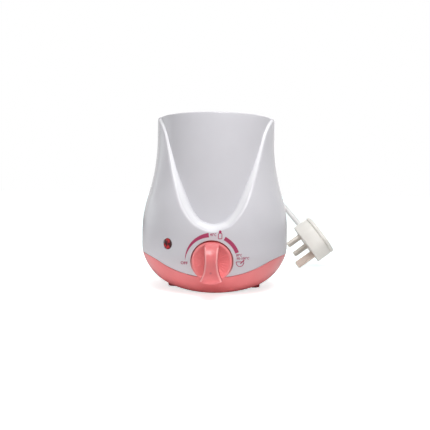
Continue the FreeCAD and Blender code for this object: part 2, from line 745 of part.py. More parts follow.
def at_plug(shape):
    moved = shape.copy()
    moved.Placement = plug_place
    return moved


def shield(inset, low, high):
    """The plug's outline seen from the pins, wide at the cord and narrower at the earth pin, as a prism."""
    end = plug_half_length - inset
    wide = plug_half_width - inset
    narrow = plug_end_half_width - inset / 2
    ring = [V(-end, -wide, low), V(0, -wide, low), V(end, -narrow, low),
            V(end, narrow, low), V(0, wide, low), V(-end, wide, low), V(-end, -wide, low)]
    prism = Part.Face(Part.makePolygon(ring)).extrude(V(0, 0, high - low))
    upright = [e for e in prism.Edges if abs(e.tangentAt(e.FirstParameter).z) > 0.999]
    return prism.makeFillet(max(plug_corner - inset, 1.0), upright)


def pin(x, y, size_x, size_y, length):
    """A flat pin with a chamfered tip, and a shoulder that seats inside the plug's face."""
    def flat(grow, low, high):
        return block(V(x - size_x / 2 - grow, y - size_y / 2 - grow, low),
                     V(x + size_x / 2 + grow, y + size_y / 2 + grow, high))
    blade = flat(0, -length, plug_face + pin_root)
    tip_edges = [e for e in blade.Edges if e.BoundBox.ZMax < -length + pin_tip]
    blade = blade.makeChamfer(pin_tip, tip_edges)
    return blade.fuse(flat(pin_shoulder, plug_face, plug_face + pin_root)), flat(pin_gap, -length, plug_face)


live_pins = [pin(pin_row, side * pin_pitch / 2, pin_thickness, pin_width, pin_length) for side in (-1, 1)]
earth = pin(earth_row, 0, earth_width, pin_thickness, earth_length)
carrier_low = carrier_centre - carrier_length / 2
carrier_high = carrier_centre + carrier_length / 2
carrier_slot = block(V(carrier_low - carrier_gap, -carrier_width / 2 - carrier_gap, 0),
                     V(carrier_high + carrier_gap, carrier_width / 2 + carrier_gap, plug_face))
cord_level = plug_depth / 2
sleeve = Part.makeCone(sleeve_root_radius, sleeve_tip_radius, sleeve_length,
                       V(-plug_half_length, 0, cord_level), V(-1, 0, 0))
plug_body = shield(0, 0, plug_depth - plug_groove_width)
plug_body = plug_body.fuse(shield(plug_groove, plug_depth - plug_groove_width, plug_depth))
plug_body = plug_body.cut(shield(plug_wall, plug_face, plug_depth))
plug_body = plug_body.fuse(sleeve)
plug_body = plug_body.cut([slot for _, slot in live_pins] + [earth[1], carrier_slot])
cover_top = plug_depth + plug_cover_depth
plug_cover = shield(0, plug_depth, cover_top)
lid_edges = [e for e in plug_cover.Edges if e.BoundBox.ZMin > cover_top - 1e-6]
plug_cover = plug_cover.makeFillet(plug_cover_depth / 2, lid_edges)
fuse_height = plug_face + plug_fuse_radius
plug_fuse = rod(plug_fuse_radius, V(carrier_centre - plug_fuse_length / 2, 0, fuse_height),
                V(carrier_centre + plug_fuse_length / 2, 0, fuse_height))
carrier = block(V(carrier_low, -carrier_width / 2, 0), V(carrier_high, carrier_width / 2, plug_face))

# Cord: a lead to the coil, the coil itself and a tail that arches over to the plug
behind = lambda x, y, z: V(x, relief_reach + y, z)
coil_top = coil_base + coil_pitch
lead_points = [behind(0, 0, entry_height), behind(0, 5.4, entry_height), behind(0.5, 10.7, 18.9),
               behind(1.4, 15.6, 16.8), behind(2.8, 19.9, 13.8), behind(3.7, 24.8, 11.6),
               behind(4.2, 30.2, coil_top), behind(4.2, 35.6, coil_top)]
cord_width = 2 * cord_radius
coil_centre = lead_points[-1] + V(-coil_outer, cord_width, -coil_top)
spin_per_turn = 360.0
inner_radius = coil_outer - coil_pitch * coil_turns_in
angle_in = spin_per_turn * coil_turns_in
angle_out = angle_in + spin_per_turn / 2
angle_end = angle_out + spin_per_turn * coil_turns_out


def coil_point(angle):
    """Spiral in on the upper layer, climb down in half a turn, then spiral out on the lower layer."""
    if angle <= angle_in:
        radius = coil_outer - coil_pitch * angle / spin_per_turn
        height = coil_base + coil_pitch
    elif angle >= angle_out:
        radius = inner_radius + coil_pitch * (angle - angle_out) / spin_per_turn
        height = coil_base
    else:
        share = (angle - angle_in) / (angle_out - angle_in)
        radius = inner_radius - coil_dip * math.sin(math.pi * share)
        height = coil_base + coil_pitch * (1 + math.cos(math.pi * share)) / 2
    return coil_centre + around(radius, angle, height)


def coil_way(angle):
    step = 0.05
    return (coil_point(angle + step) - coil_point(angle - step)).normalize()


def arc_middle_from(start, way, end):
    """The middle of an arc that leaves start along way and ends at end."""
    chord = end - start
    half = way.getAngle(chord) / 2
    return start + (chord.normalize() + way).normalize() * (end.distanceToPoint(start) / 2 / math.cos(half))


def biarc(start, way_in, end, way_out):
    """Two tangent arcs between two points with given directions."""
    chord = end - start
    spread = 2 * (1 - way_in.dot(way_out))
    dot = chord.dot(way_in + way_out)
    reach = (math.sqrt(dot ** 2 + spread * chord.dot(chord)) - dot) / spread
    joint = (start + end + (way_in - way_out) * reach) / 2
    return [Part.Arc(start, arc_middle_from(start, way_in, joint), joint).toShape(),
            Part.Arc(joint, arc_middle_from(end, way_out * -1, joint), end).toShape()]


coil_first, coil_last = coil_point(0), coil_point(angle_end)
first_way, last_way = V(0, 1, 0), coil_way(angle_end - 0.05)
coil_begin = lead_points[-1]
coil_finish = coil_last + last_way * cord_width
quarters = round(angle_end / 90)
stops = [angle_end * k / quarters for k in range(quarters + 1)]
ways = [first_way] + [coil_way(a) for a in stops[1:-1]] + [last_way]
coil_edges = [Part.LineSegment(coil_begin, coil_first).toShape()]
for k in range(quarters):
    coil_edges += biarc(coil_point(stops[k]), ways[k], coil_point(stops[k + 1]), ways[k + 1])
coil_edges.append(Part.LineSegment(coil_last, coil_finish).toShape())
coil_wire = Part.Wire(coil_edges)
coil = pipe(coil_wire, cord_radius, coil_begin, first_way)

sleeve_tip = plug_place.multVec(V(-plug_half_length - sleeve_length, 0, cord_level))
tail_points = [coil_finish, coil_finish + last_way * 16, behind(6, 7, 5), behind(20.3, 11.8, 14.2),
               behind(29.3, 18.7, 28.3), behind(33.6, 27.2, 44.2), behind(34.9, 37.4, 59.8),
               behind(35.7, 49.8, 73.8), behind(38.1, 64.4, 84.6), behind(44.1, 80.1, 90.4),
               behind(54.6, 93.9, 89.1), behind(67.7, 101.4, 81), behind(80.3, 100.6, 68.9),
               sleeve_tip - long_axis * 17, sleeve_tip]
cord_lead, lead_wire, lead_radii = tube(lead_points, cord_radius)
cord_tail, tail_wire, tail_radii = tube(tail_points, cord_radius)

# Tie round the coil, at the side away from the plug
tie_angle = 180.0
tie_in = math.sqrt((inner_radius - coil_dip - cord_radius) ** 2 - (tie_width / 2) ** 2) - tie_gap
tie_out = coil_outer - coil_pitch * tie_angle / spin_per_turn + cord_radius + tie_gap
tie_low = coil_base - cord_radius - tie_gap
tie_high = coil_base + coil_pitch + cord_radius + tie_gap


def tie_ring(grow):
    return block(V(tie_in - grow, -tie_width / 2, tie_low - grow),
                 V(tie_out + grow, tie_width / 2, tie_high + grow))


def rounded_bar(solid, radius):
    return solid.makeFillet(radius, [e for e in solid.Edges if abs(e.tangentAt(e.FirstParameter).y) > 0.999])


tie = rounded_bar(tie_ring(tie_thickness), cord_radius + tie_thickness)
tie = tie.cut(rounded_bar(tie_ring(0), cord_radius))
tie.rotate(V(0, 0, 0), UP, tie_angle)
tie.translate(coil_centre)

pieces = {
    "outer_housing": housing,
    "base_cover": base,
    "base_screws": base_screws,
    "feet": feet,
    "inner_cup": cup,
    "cup_gasket": gasket,
    "heater_plate": plate,
    "ptc_heater": heater,
    "heater_bracket": strap,
    "heater_screws": heater_screws,
    "thermal_fuse": thermal_fuse,
    "sensor_bulb": bulb,
    "tube_clips": clips,
    "capillary_tube": capillary,
    "thermostat_body": thermostat,
    "thermostat_nut": nut,
    "thermostat_spindle": spindle,
    "knob": knob,
    "knob_clip": knob_clip,
    "indicator_lens": lens,
    "lamp_ring": lamp_ring,
    "neon_lamp": lamp,
    "lamp_leads": lamp_leads,
    "terminal_block": terminals,
    "mains_leads": mains_leads,
    "heater_leads": heater_leads,
    "strain_relief": relief,
    "inner_cord": inner_cord,
    "cord_grip": clamp,
    "cord_grip_screws": clamp_screws,
    "cord_lead": cord_lead,
    "cord_coil": coil,
    "cord_tail": cord_tail,
    "cord_tie": tie,
    "plug_body": at_plug(plug_body),
    "plug_cover": at_plug(plug_cover),
    "plug_line_pins": [at_plug(body) for body, _ in live_pins],
    "plug_earth_pin": at_plug(earth[0]),
    "plug_fuse": at_plug(plug_fuse),
    "fuse_carrier": at_plug(carrier),
}

os.makedirs("parts", exist_ok=True)
for name, shape in pieces.items():
    solids = [s for one in (shape if isinstance(shape, list) else [shape]) for s in one.Solids]
    whole = solids[0] if len(solids) == 1 else Part.makeCompound(solids)
    print(f"{name}: {len(solids)} solid(s), {whole.Volume:.1f} mm3, valid {whole.isValid()}")
    whole.exportStep(f"parts/{name}.step")


def report_tube(name, solid, wire, radii):
    section = math.pi * cord_radius ** 2
    share = solid.Volume / section / wire.Length
    print(f"{name}: length {wire.Length:.1f}, volume over section x length {share:.4f}, "
          f"radii {[round(r, 1) for r in radii]}")


report_tube("cord_lead", cord_lead, lead_wire, lead_radii)
report_tube("cord_tail", cord_tail, tail_wire, tail_radii)
report_tube("cord_coil", coil, coil_wire, [inner_radius - coil_dip])
coil_samples = coil_wire.discretize(Distance=1.0)
skip = int(4 * cord_width)
least = min(a.distanceToPoint(b) for i, a in enumerate(coil_samples) for b in coil_samples[i + skip:])
print(f"cord_coil: least gap to itself {least - cord_width:.2f}")
print(f"cord length in all {lead_wire.Length + coil_wire.Length + tail_wire.Length:.0f}")
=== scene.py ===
import json
import math
import bmesh
import bpy
from mathutils import Matrix, Vector


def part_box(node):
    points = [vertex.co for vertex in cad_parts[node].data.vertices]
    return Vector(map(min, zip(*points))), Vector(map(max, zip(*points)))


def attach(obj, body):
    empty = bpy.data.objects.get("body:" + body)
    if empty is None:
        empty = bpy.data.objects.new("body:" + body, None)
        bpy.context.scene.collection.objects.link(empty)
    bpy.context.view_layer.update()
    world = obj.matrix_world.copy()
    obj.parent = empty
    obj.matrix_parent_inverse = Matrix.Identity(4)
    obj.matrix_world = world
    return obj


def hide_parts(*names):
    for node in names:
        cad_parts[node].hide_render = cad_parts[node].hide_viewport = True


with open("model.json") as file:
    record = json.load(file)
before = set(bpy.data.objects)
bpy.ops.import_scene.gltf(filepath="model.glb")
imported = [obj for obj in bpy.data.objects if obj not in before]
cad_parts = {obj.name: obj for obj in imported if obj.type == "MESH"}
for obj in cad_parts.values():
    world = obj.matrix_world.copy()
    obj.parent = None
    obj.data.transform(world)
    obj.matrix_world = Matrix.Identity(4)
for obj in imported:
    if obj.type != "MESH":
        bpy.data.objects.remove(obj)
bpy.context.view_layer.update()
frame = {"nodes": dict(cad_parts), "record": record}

# Outer housing: the glossy white bell with a U-shaped scoop in its front, moulded in polypropylene.
# It rests on the base along a seam that dips under the knob, and screws from below hold it.
# Shapes are written in millimetres, and angles round the bell run from the front towards +X.
bell_radius = 65.0
rim_radius, rim_height = 52.2, 150.0
neck_height, neck_sweep = 132.5, 168.75
flare_height = 81.95
belly_height, belly_sweep = 49.0, 110.0
bowl_height, bowl_offset, bowl_sweep = 43.338, 22.103, 43.7
join_ease = 0.25
shell = 2.2


def side(z):
    """Outer radius of the bell and of the bowl under it, with the join between them eased."""
    if z > neck_height:
        return rim_radius
    if z > flare_height:
        return rim_radius + neck_sweep - math.sqrt(neck_sweep ** 2 - (neck_height - z) ** 2)
    if z > belly_height:
        return bell_radius - belly_sweep + math.sqrt(belly_sweep ** 2 - (z - belly_height) ** 2)
    bowl = bowl_offset + math.sqrt(bowl_sweep ** 2 - max(bowl_height - z, 0.0) ** 2)
    return bell_radius - join_ease * math.log1p(math.exp((bell_radius - bowl) / join_ease))


seam_high, seam_low = 32.2, 16.5
dip_half, dip_sweep, shoulder_sweep = 43.35, 95.0, 47.4
half_gap = 0.1
seam_lip = ((shell, 0), (0.5, 0), (0.28, 0.05), (0.1, 0.2))


def seam_at(angle):
    """Height of the seam: level at the back, with a soft dip at the front."""
    z = seam_high
    if math.cos(angle) <= 0:
        return z
    for _ in range(8):
        x = abs(side(z) * math.sin(angle))
        if x < dip_half:
            z = seam_low + dip_sweep - math.sqrt(dip_sweep ** 2 - x ** 2)
        else:
            z = seam_high - shoulder_sweep + math.sqrt(shoulder_sweep ** 2 - (bell_radius - x) ** 2)
    return z


def held(v):
    """The value kept between 0 and 1."""
    return min(max(v, 0), 1)


def through(points, t):
    """The value at t of a smooth curve through (t, value) points, held level past its ends."""
    for k in range(len(points) - 1):
        (t0, v0), (t1, v1) = points[k], points[k + 1]
        if t <= t1 or k == len(points) - 2:
            before = points[max(k - 1, 0)]
            after = points[min(k + 2, len(points) - 1)]
            m0 = (v1 - before[1]) / (t1 - before[0])
            m1 = (after[1] - v0) / (after[0] - t0)
            q, span = held((t - t0) / (t1 - t0)), t1 - t0
            return ((2 * q ** 3 - 3 * q ** 2 + 1) * v0 + (q ** 3 - 2 * q ** 2 + q) * span * m0
                    + (3 * q ** 2 - 2 * q ** 3) * v1 + (q ** 3 - q ** 2) * span * m1)


# The scoop's edge as degrees from the front and height; its wall is widest at the bottom of the U.
scoop_radius = 50.0
scoop_line = [(-10.2, 59.0), (0, 54.9), (10.2, 59.0), (14.3, 62.9), (20.1, 70.6), (27.1, 82.5), (33.9, 94.7),
              (40.5, 107.1), (49.0, 124.1), (53.3, 132.4), (57.5, 138.0), (63.0, 143.1), (70.0, 147.5),
              (78.0, 151.9)]
scoop_end = 77.5
wall_least, wall_extra, wall_turn = 0.7, 2.9, 10.5
low_ease, high_ease = 0.5, 0.25


def scoop_edge(angle):
    """At an angle round the bell: the scoop's edge height, the cosine of its lean and its wall's width."""
    turn = min(abs(math.degrees((angle + math.pi) % math.tau - math.pi)), scoop_end)
    lean = math.cos(math.atan(through(scoop_line, turn + 0.5) - through(scoop_line, turn - 0.5)))
    width = wall_least + wall_extra * math.exp(-(turn / wall_turn) ** 2)
    return through(scoop_line, turn), lean, width * lean


def skin(z, edge, grow=0.0):
    """Outer radius of the housing at a height, by the scoop's edge there; grow widens the scoop."""
    def knee(v, soft):
        return v if v > 20 * soft else soft * math.log1p(math.exp(v / soft))
    low, lean, width = edge
    off = (z - low) * lean + grow
    share = held((knee(off, low_ease) - knee(off - width, high_ease)) / width)
    return side(z) + (scoop_radius - side(z)) * share


def spread(first, last, count):
    """Even steps from first to last, the last one left out."""
    return [first + (last - first) * k / count for k in range(count)]


flange_seat, deck_hole = 47.2, 44.3
deck_top, deck_low = 146.5, 143.0


def housing_section(angle):
    """The wall cut upright: from the seam up the outside, over the rim, round the deck and down inside."""
    low = seam_at(angle) + half_gap
    edge = height, lean, width = scoop_edge(angle)
    start = min(height - 1.6 / lean, rim_height - 9.0)
    end = min(height + (width + 2.2) / lean, rim_height - 3.0)
    behind = shell / lean
    section = [(skin(low, edge) - back, low + away) for back, away in seam_lip]
    outside = spread(low + 0.5, start, 30) + spread(start, end, 26) + spread(end, rim_height - 2.4, 24)
    section += [(skin(z, edge), z) for z in outside]
    top = skin(rim_height - 2.0, edge)
    bend = 1.0 + (top - scoop_radius) / (rim_radius - scoop_radius)
    for turn in spread(0, math.pi / 2, 7) + [math.pi / 2]:
        section.append((top - bend * (1 - math.cos(turn)), rim_height - bend * (1 - math.sin(turn))))
    section += [(flange_seat + 0.5, rim_height), (flange_seat + 0.15, rim_height - 0.15),
                (flange_seat, rim_height - 0.5), (flange_seat, deck_top), (deck_hole, deck_top),
                (deck_hole, deck_low)]
    inner_end, inner_start = min(end - behind, deck_low - 1.0), min(start - behind, deck_low - 7.0)
    inside = (spread(deck_low, inner_end, 14) + spread(inner_end, inner_start, 20)
              + spread(inner_start, low, 14))
    return section + [(skin(z, edge, shell) - shell, z) for z in inside]


def wrapped_grid(columns, rows, place):
    """A sheet of quads folded by place(column, row); its sides meet and are merged."""
    bm = bmesh.new()
    bmesh.ops.create_grid(bm, x_segments=columns, y_segments=rows, size=0.5)
    for v in bm.verts:
        v.co = place(round((v.co.x + 0.5) * columns), round((v.co.y + 0.5) * rows))
    bmesh.ops.remove_doubles(bm, verts=bm.verts, dist=1e-4)
    bmesh.ops.dissolve_degenerate(bm, edges=bm.edges, dist=1e-5)
    bmesh.ops.recalc_face_normals(bm, faces=bm.faces)
    return bm


def ring_of_sections(columns, section_at, angle_at=None):
    """Closed sections side by side round the bell's axis, evenly or at the angles that angle_at gives."""
    angles = [angle_at(k / columns) if angle_at else math.tau * k / columns for k in range(columns)]
    sections = [section_at(a) for a in angles]
    rows = len(sections[0])

    def place(column, row):
        r, z = sections[column % columns][row % rows]
        angle = angles[column % columns]
        return Vector((r * math.sin(angle), -r * math.cos(angle), z))
    return wrapped_grid(columns, rows, place)


mm = 0.001
usual_crease = 38


def settle(obj, bm, crease):
    """Give obj the mesh that was built in millimetres, smooth but for its sharp edges."""
    bmesh.ops.scale(bm, vec=(mm, mm, mm), verts=bm.verts)
    for face in bm.faces:
        face.smooth = True
    bm.to_mesh(obj.data)
    bm.free()
    obj.data.set_sharp_from_angle(angle=math.radians(crease))


def placed(name, data):
    """A new object in the scene."""
    obj = bpy.data.objects.new(name, data)
    bpy.context.scene.collection.objects.link(obj)
    return obj


def piece(name, bm, finish, nodes=(), body="warmer", crease=usual_crease):
    """Make a finished object that rides on a body and stands for the CAD nodes named."""
    obj = placed(name, bpy.data.meshes.new(name))
    settle(obj, bm, crease)
    obj.data.materials.append(finish)
    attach(obj, body)
    if nodes:
        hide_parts(*nodes)
    return obj


def rod(radius, start, end, segments=96):
    """A plain round bar between two points, in millimetres."""
    start, end = Vector(start), Vector(end)
    bm = bmesh.new()
    bmesh.ops.create_cone(bm, cap_ends=True, segments=segments, radius1=radius, radius2=radius,
                          depth=(end - start).length)
    turn = (end - start).to_track_quat("Z", "Y").to_matrix().to_4x4()
    bmesh.ops.transform(bm, matrix=Matrix.Translation((start + end) / 2) @ turn, verts=bm.verts)
    return bm


def finished_mesh(obj):
    """A new mesh of the object as it stands, with its cuts made or its letters filled."""
    bpy.context.view_layer.update()
    return bpy.data.meshes.new_from_object(obj.evaluated_get(bpy.context.evaluated_depsgraph_get()))


def cut(obj, *rods):
    """Cut round bars out of a piece."""
    tools = []
    for bm in rods:
        tool = placed("tool", bpy.data.meshes.new("tool"))
        settle(tool, bm, usual_crease)
        step = obj.modifiers.new("cut", "BOOLEAN")
        step.operation, step.solver, step.object = "DIFFERENCE", "EXACT", tool
        tools.append(tool)
    mesh = finished_mesh(obj)
    obj.modifiers.clear()
    obj.data = mesh
    mesh.set_sharp_from_angle(angle=math.radians(usual_crease))
    for tool in tools:
        bpy.data.objects.remove(tool)


class Sock:
    """A shader socket that adds and multiplies like a number."""

    def __init__(self, tree, socket):
        self.tree, self.socket = tree, socket

    def node(self, kind, settings=None, inputs=None, out=0):
        """Any other node: its settings first, then its inputs."""
        node = self.tree.nodes.new(kind)
        for key, value in (settings or {}).items():
            setattr(node, key, value)
        for key, value in (inputs or {}).items():
            if isinstance(value, Sock):
                self.tree.links.new(value.socket, node.inputs[key])
            else:
                node.inputs[key].default_value = value
        return Sock(self.tree, node.outputs[out])

    def maths(self, operation, first, second):
        return self.node("ShaderNodeMath", {"operation": operation}, {0: first, 1: second})

    def __add__(self, other):
        return self.maths("ADD", self, other)

    def __mul__(self, other):
        return self.maths("MULTIPLY", self, other)

    def __pow__(self, other):
        return self.maths("POWER", self, other)

    __radd__ = __add__
    __rmul__ = __mul__

    def axis(self, name):
        return self.node("ShaderNodeSeparateXYZ", None, {0: self}, "XYZ".index(name))

    def noise(self, size, detail=2.0):
        """Noise whose spots are about size millimetres across."""
        return self.node("ShaderNodeTexNoise", None, {"Vector": self, "Scale": 1 / size, "Detail": detail})

    def between(self, low, high):
        """0 under low, 1 over high, smooth between."""
        return self.node("ShaderNodeMapRange", {"interpolation_type": "SMOOTHSTEP"},
                         {"Value": self, "From Min": low, "From Max": high})

    def mix(self, first, second):
        """Blend two colours by this value."""
        return self.node("ShaderNodeMix", {"data_type": "RGBA"}, {0: self, 6: first, 7: second}, 2)

    def bump(self, height):
        """Raise the surface by this value times height millimetres."""
        return self.node("ShaderNodeBump", None, {"Strength": 1.0, "Distance": height * mm, "Height": self})


def start_material(name, **constants):
    """A new material, its shader and the place on the object in millimetres."""
    material = bpy.data.materials.new(name)
    material.use_nodes = True
    tree = material.node_tree
    shader = tree.nodes["Principled BSDF"]
    for key, value in constants.items():
        shader.inputs[key.replace("_", " ")].default_value = value
    metres = Sock(tree, tree.nodes.new("ShaderNodeTexCoord").outputs["Object"])
    where = metres.node("ShaderNodeVectorMath", {"operation": "SCALE"}, {0: metres, "Scale": 1 / mm})
    return material, shader, where


def feed(shader, colour, roughness, normal=None):
    """Link what varies over a surface to its shader."""
    for key, value in (("Base Color", colour), ("Roughness", roughness), ("Normal", normal)):
        if value is not None:
            shader.id_data.links.new(value.socket, shader.inputs[key])


def moulded(name, colour, shade, roughness, edge=None):
    """Moulded plastic: faint flow clouds in the colour, uneven gloss, a slight ripple and fine dust.
    Where the mesh has a value named edge, it gets a painted highlight: a paler colour, and duller gloss."""
    material, shader, where = start_material(name)
    clouds = where.noise(26.0, 3.0)
    specks = where.noise(0.5, 1.0).between(0.68, 0.8)
    tint = (clouds.between(0.3, 0.75) * 0.8 + specks * 0.2).mix(colour, shade)
    gloss = where.noise(9.0, 4.0) * 0.1 + specks * 0.08 + (roughness - 0.05)
    # The edge value lays a painted highlight, a paler colour, over the tint.
    if edge:
        share = where.node("ShaderNodeAttribute", {"attribute_name": "edge"}, None, 2)
        tint, gloss = share.mix(tint, edge), gloss + share * 0.4
    feed(shader, tint, gloss,
         (where.noise(5.0, 1.0) * 0.8 + where.noise(0.35, 1.0) * 0.06).bump(0.02))
    return material


# The last colour is a painted highlight, laid on the scoop's wall where the mesh's edge value is set.
housing_white = moulded("housing_white", (0.66, 0.655, 0.69, 1), (0.64, 0.635, 0.672, 1), 0.2,
                        (0.8, 0.805, 0.825, 1))
crowding = 0.55
highlight_low, highlight_high = 50.0, 148.0
fade_in, fade_out = 0.25, 0.3
bell = ring_of_sections(360, housing_section, lambda u: math.tau * u - crowding * math.sin(math.tau * u))
# Painted highlight: the scoop's wall between its rims gets the edge value, on the front between these heights.
painted_highlight = bell.verts.layers.float.new("edge")
for v in bell.verts:
    deep = (side(v.co.z) - v.co.xy.length) / (side(v.co.z) - scoop_radius)
    if highlight_low < v.co.z < highlight_high and v.co.y < 0:
        v[painted_highlight] = held((deep - 0.01) / fade_in) * held((0.99 - deep) / fade_out)
housing = piece("housing_shell", bell, housing_white, ["outer_housing"])
knob_height = 30.3
recess_radius, recess_lip = 16.9, 0.25
lens_angle, lens_height, lens_hole = math.radians(-34.0), 43.0, 4.6


def lens_at(distance, across=0.0, up=0.0):
    """A point by the indicator's axis, which runs level out of the bell."""
    sine, cosine = math.sin(lens_angle), math.cos(lens_angle)
    return Vector((distance * sine + across * cosine, -distance * cosine + across * sine, lens_height + up))


def front_hole():
    """The hole for the knob's recess, which housing and base share."""
    return rod(recess_radius + recess_lip, (0, -76, knob_height), (0, -57, knob_height), 180)


cut(housing, front_hole(), rod(lens_hole, lens_at(58), lens_at(70)))

# Base: a glossy pink bowl with a flat bottom, moulded in polypropylene like the housing.
# Its rim follows the housing's seam. Screws go up through four deep holes, and the cord leaves at the back.
base_pink = moulded("base_pink", (0.84, 0.235, 0.24, 1), (0.8, 0.205, 0.21, 1), 0.22)
front_turn, front_out, front_down = 0.6, 5.5, 0.6
bottom_height = 1.5
cord_height, cord_hole = 20, 5.7
screw_circle, screw_angles = 54.0, (20, 160, 200, 340)
screw_hole, screw_shank, screw_post = 3.3, 1.6, 4.6
screw_seat, screw_stop = 22.0, 23.5


def bowl_edge(r):
    """Height of the bowl's outside at a radius."""
    return bowl_height - math.sqrt(bowl_sweep ** 2 - (r - bowl_offset) ** 2)


def base_section(angle):
    """The bowl's wall cut upright: down the outside, fuller in front, under the bottom and up the inside."""
    top = seam_at(angle) - half_gap
    full = math.exp(-(((angle + math.pi) % math.tau - math.pi) / front_turn) ** 2)
    section = [(side(top) - back, top - away) for back, away in seam_lip]
    outside = spread(top - 0.5, 6.0, 26) + spread(6.0, bottom_height, 10) + [bottom_height]
    section += [(side(z) + front_out * full * math.exp(-z / 3.5),
                 z - front_down * full * math.exp(-(z - bottom_height) / 1.5)) for z in outside]
    section += [(33.0, 1.42 - 0.4 * full), (31.0, 1.3), (30.4, 1.7), (29.0, 1.75), (12.0, 1.75), (0, 1.75),
                (0, 3.7), (30.0, 3.7)]
    return section + [(side(z) - shell, z) for z in spread(4.2, top, 16)]


def turned(columns, section, at, closed=False):
    """A section spun once round; at(*section point, turn) gives each place, and a closed one meets itself."""
    def place(column, row):
        return at(*section[row % len(section)], math.tau * column / columns)
    return wrapped_grid(columns, len(section) if closed else len(section) - 1, place)


base = piece("base_shell", ring_of_sections(240, base_section), base_pink, ["base_cover"])
screw_places = [Matrix.Rotation(math.radians(a), 3, "Z") @ Vector((screw_circle, 0, 0)) for a in screw_angles]
cut(base, front_hole(), rod(cord_hole, (0, 50, cord_height), (0, 72, cord_height)),
    *[rod(screw_hole, p, p + Vector((0, 0, screw_seat)), 40) for p in screw_places])
for number, p in enumerate(screw_places, 1):
    def on_post(r, level, turn, p=p):
        """The hole's wall from the bowl up to the seat, and back on the outside."""
        at = p + Vector((r * math.cos(turn), r * math.sin(turn), 0))
        at.z = level or bowl_edge(at.length) + (0.02 if r < screw_post else shell)
        return at
    post = turned(40, [(screw_hole, None), (screw_hole, screw_seat), (screw_shank, screw_seat),
                       (screw_shank, screw_stop), (screw_post, screw_stop), (screw_post, None)], on_post, True)
    piece(f"base_screw_hole_{number}", post, base_pink)

# Knob recess: the round pocket that the knob sits in, moulded half in the housing and half in the base.
# Its lip is eased into the bell, and the seam crosses it near the bottom.
# The upper part has a painted reflection of the knob's pink, and the lower one is painted deep red as shade.
recess_section = [(recess_radius + recess_lip * (1 - math.sin(t)), None, recess_lip * (1 - math.cos(t)))
                  for t in (0, 0.4, 0.8, 1.2, math.pi / 2)]
recess_section += [(recess_radius, -55.2, 0), (16.7, -54.4, 0), (16.0, -54.0, 0), (10.0, -54.0, 0),
                   (4.7, -54.0, 0), (4.7, -52.8, 0), (18.2, -52.8, 0), (18.4, None, shell)]


def in_recess(r, depth, inwards, turn):
    """A point of the pocket; one without a depth lies that far inside the bell's own surface."""
    x, z = r * math.sin(turn), knob_height + r * math.cos(turn)
    if depth is None:
        depth = inwards - math.sqrt(side(z) ** 2 - x ** 2)
    return Vector((x, depth, z))


def pocket(level, way):
    """The pocket's part on one side of the seam, closed where the seam cuts it."""
    bm = turned(180, recess_section, in_recess, True)
    bmesh.ops.bisect_plane(bm, geom=bm.verts[:] + bm.edges[:] + bm.faces[:], plane_co=(0, 0, level),
                           plane_no=(0, 0, way), clear_inner=True)
    bmesh.ops.holes_fill(bm, edges=[e for e in bm.edges if e.is_boundary])
    return bm


# Painted reflection: the upper pocket's pale pink.
recess_painted_reflection = moulded("recess_painted_reflection", (0.88, 0.36, 0.36, 1), (0.84, 0.33, 0.33, 1), 0.3)
piece("recess_upper", pocket(17.6, 1), recess_painted_reflection)
# Painted shade: the lower pocket's deep red.
recess_painted_shade = moulded("recess_painted_shade", (0.4, 0.055, 0.06, 1), (0.36, 0.045, 0.05, 1), 0.4)
piece("recess_lower", pocket(17.4, -1), recess_painted_shade)

# Dial print: one magenta ink printed on the bell round the knob, so thin that only its colour shows.
# It has a swelling arc, a band, an off mark, three temperatures, and a bottle and a bowl sign.


def grained(name, colour, shade, clouds, gloss, grain, **constants):
    """A plain finish: clouds in the colour by size and detail, gloss by size, detail, swing and least
    roughness, and a fine grain by size, detail and height."""
    material, shader, where = start_material(name, **constants)
    feed(shader, where.noise(*clouds).between(0.3, 0.7).mix(colour, shade),
         where.noise(*gloss[:2]) * gloss[2] + gloss[3], where.noise(*grain[:2]).bump(grain[2]))
    return material


ink = grained("dial_ink", (0.44, 0.042, 0.125, 1), (0.4, 0.036, 0.11, 1), (0.6, 2.0), (1.0, 2.0, 0.15, 0.25),
              (0.4, 1.0, 0.01))
ink_proud = 0.08


def printed(name, bm):
    """Lay a flat print on the bell, its faces outwards."""
    bmesh.ops.subdivide_edges(bm, edges=[e for e in bm.edges if e.calc_length() > 1.2], cuts=2,
                              use_grid_fill=True)
    for v in bm.verts:
        x, z = v.co.x, v.co.z
        v.co = Vector((x, -math.sqrt((side(z) + ink_proud) ** 2 - x ** 2), z))
    bmesh.ops.recalc_face_normals(bm, faces=bm.faces)
    for face in bm.faces:
        if face.normal.y > 0:
            face.normal_flip()
    piece(name, bm, ink)


def arc_band(first, last, radius, thickness):
    """A flat arc round the knob's axis, with a thickness that may vary along it."""
    bm = bmesh.new()
    bmesh.ops.create_grid(bm, x_segments=48, y_segments=3, size=0.5)
    for v in bm.verts:
        share = v.co.x + 0.5
        turn = math.radians(first + (last - first) * share)
        r = radius + v.co.y * thickness(share)
        v.co = Vector((r * math.cos(turn), 0, knob_height + r * math.sin(turn)))
    return bm


def lettering(text, size, x, z, stretch=1.0):
    """A short word or number as a flat mesh, centred on a point of the bell's front."""
    curve = bpy.data.curves.new(text, "FONT")
    curve.body, curve.size, curve.align_x, curve.align_y = text, size, "CENTER", "CENTER"
    curve.offset = 0.025 * size
    obj = placed(text, curve)
    mesh = finished_mesh(obj)
    bpy.data.objects.remove(obj)
    bm = bmesh.new()
    bm.from_mesh(mesh)
    for v in bm.verts:
        v.co = Vector((x + v.co.x * stretch, 0, z + v.co.y))
    return bm


printed("dial_crescent", arc_band(178, 97, 21.3, lambda share: 3.5 * share ** 0.75))
printed("dial_band", arc_band(62.3, 20, 21.1, lambda share: 3.0))
printed("dial_off", lettering("OFF", 3.3, -22.2, 28.3))
printed("dial_40", lettering("40°C", 2.9, 0.8, 51.7, 0.82))
printed("dial_80", lettering("80°C", 2.6, 21.4, 35.5, 0.85))
printed("dial_100", lettering("90-100°C", 2.6, 24.6, 32.9))


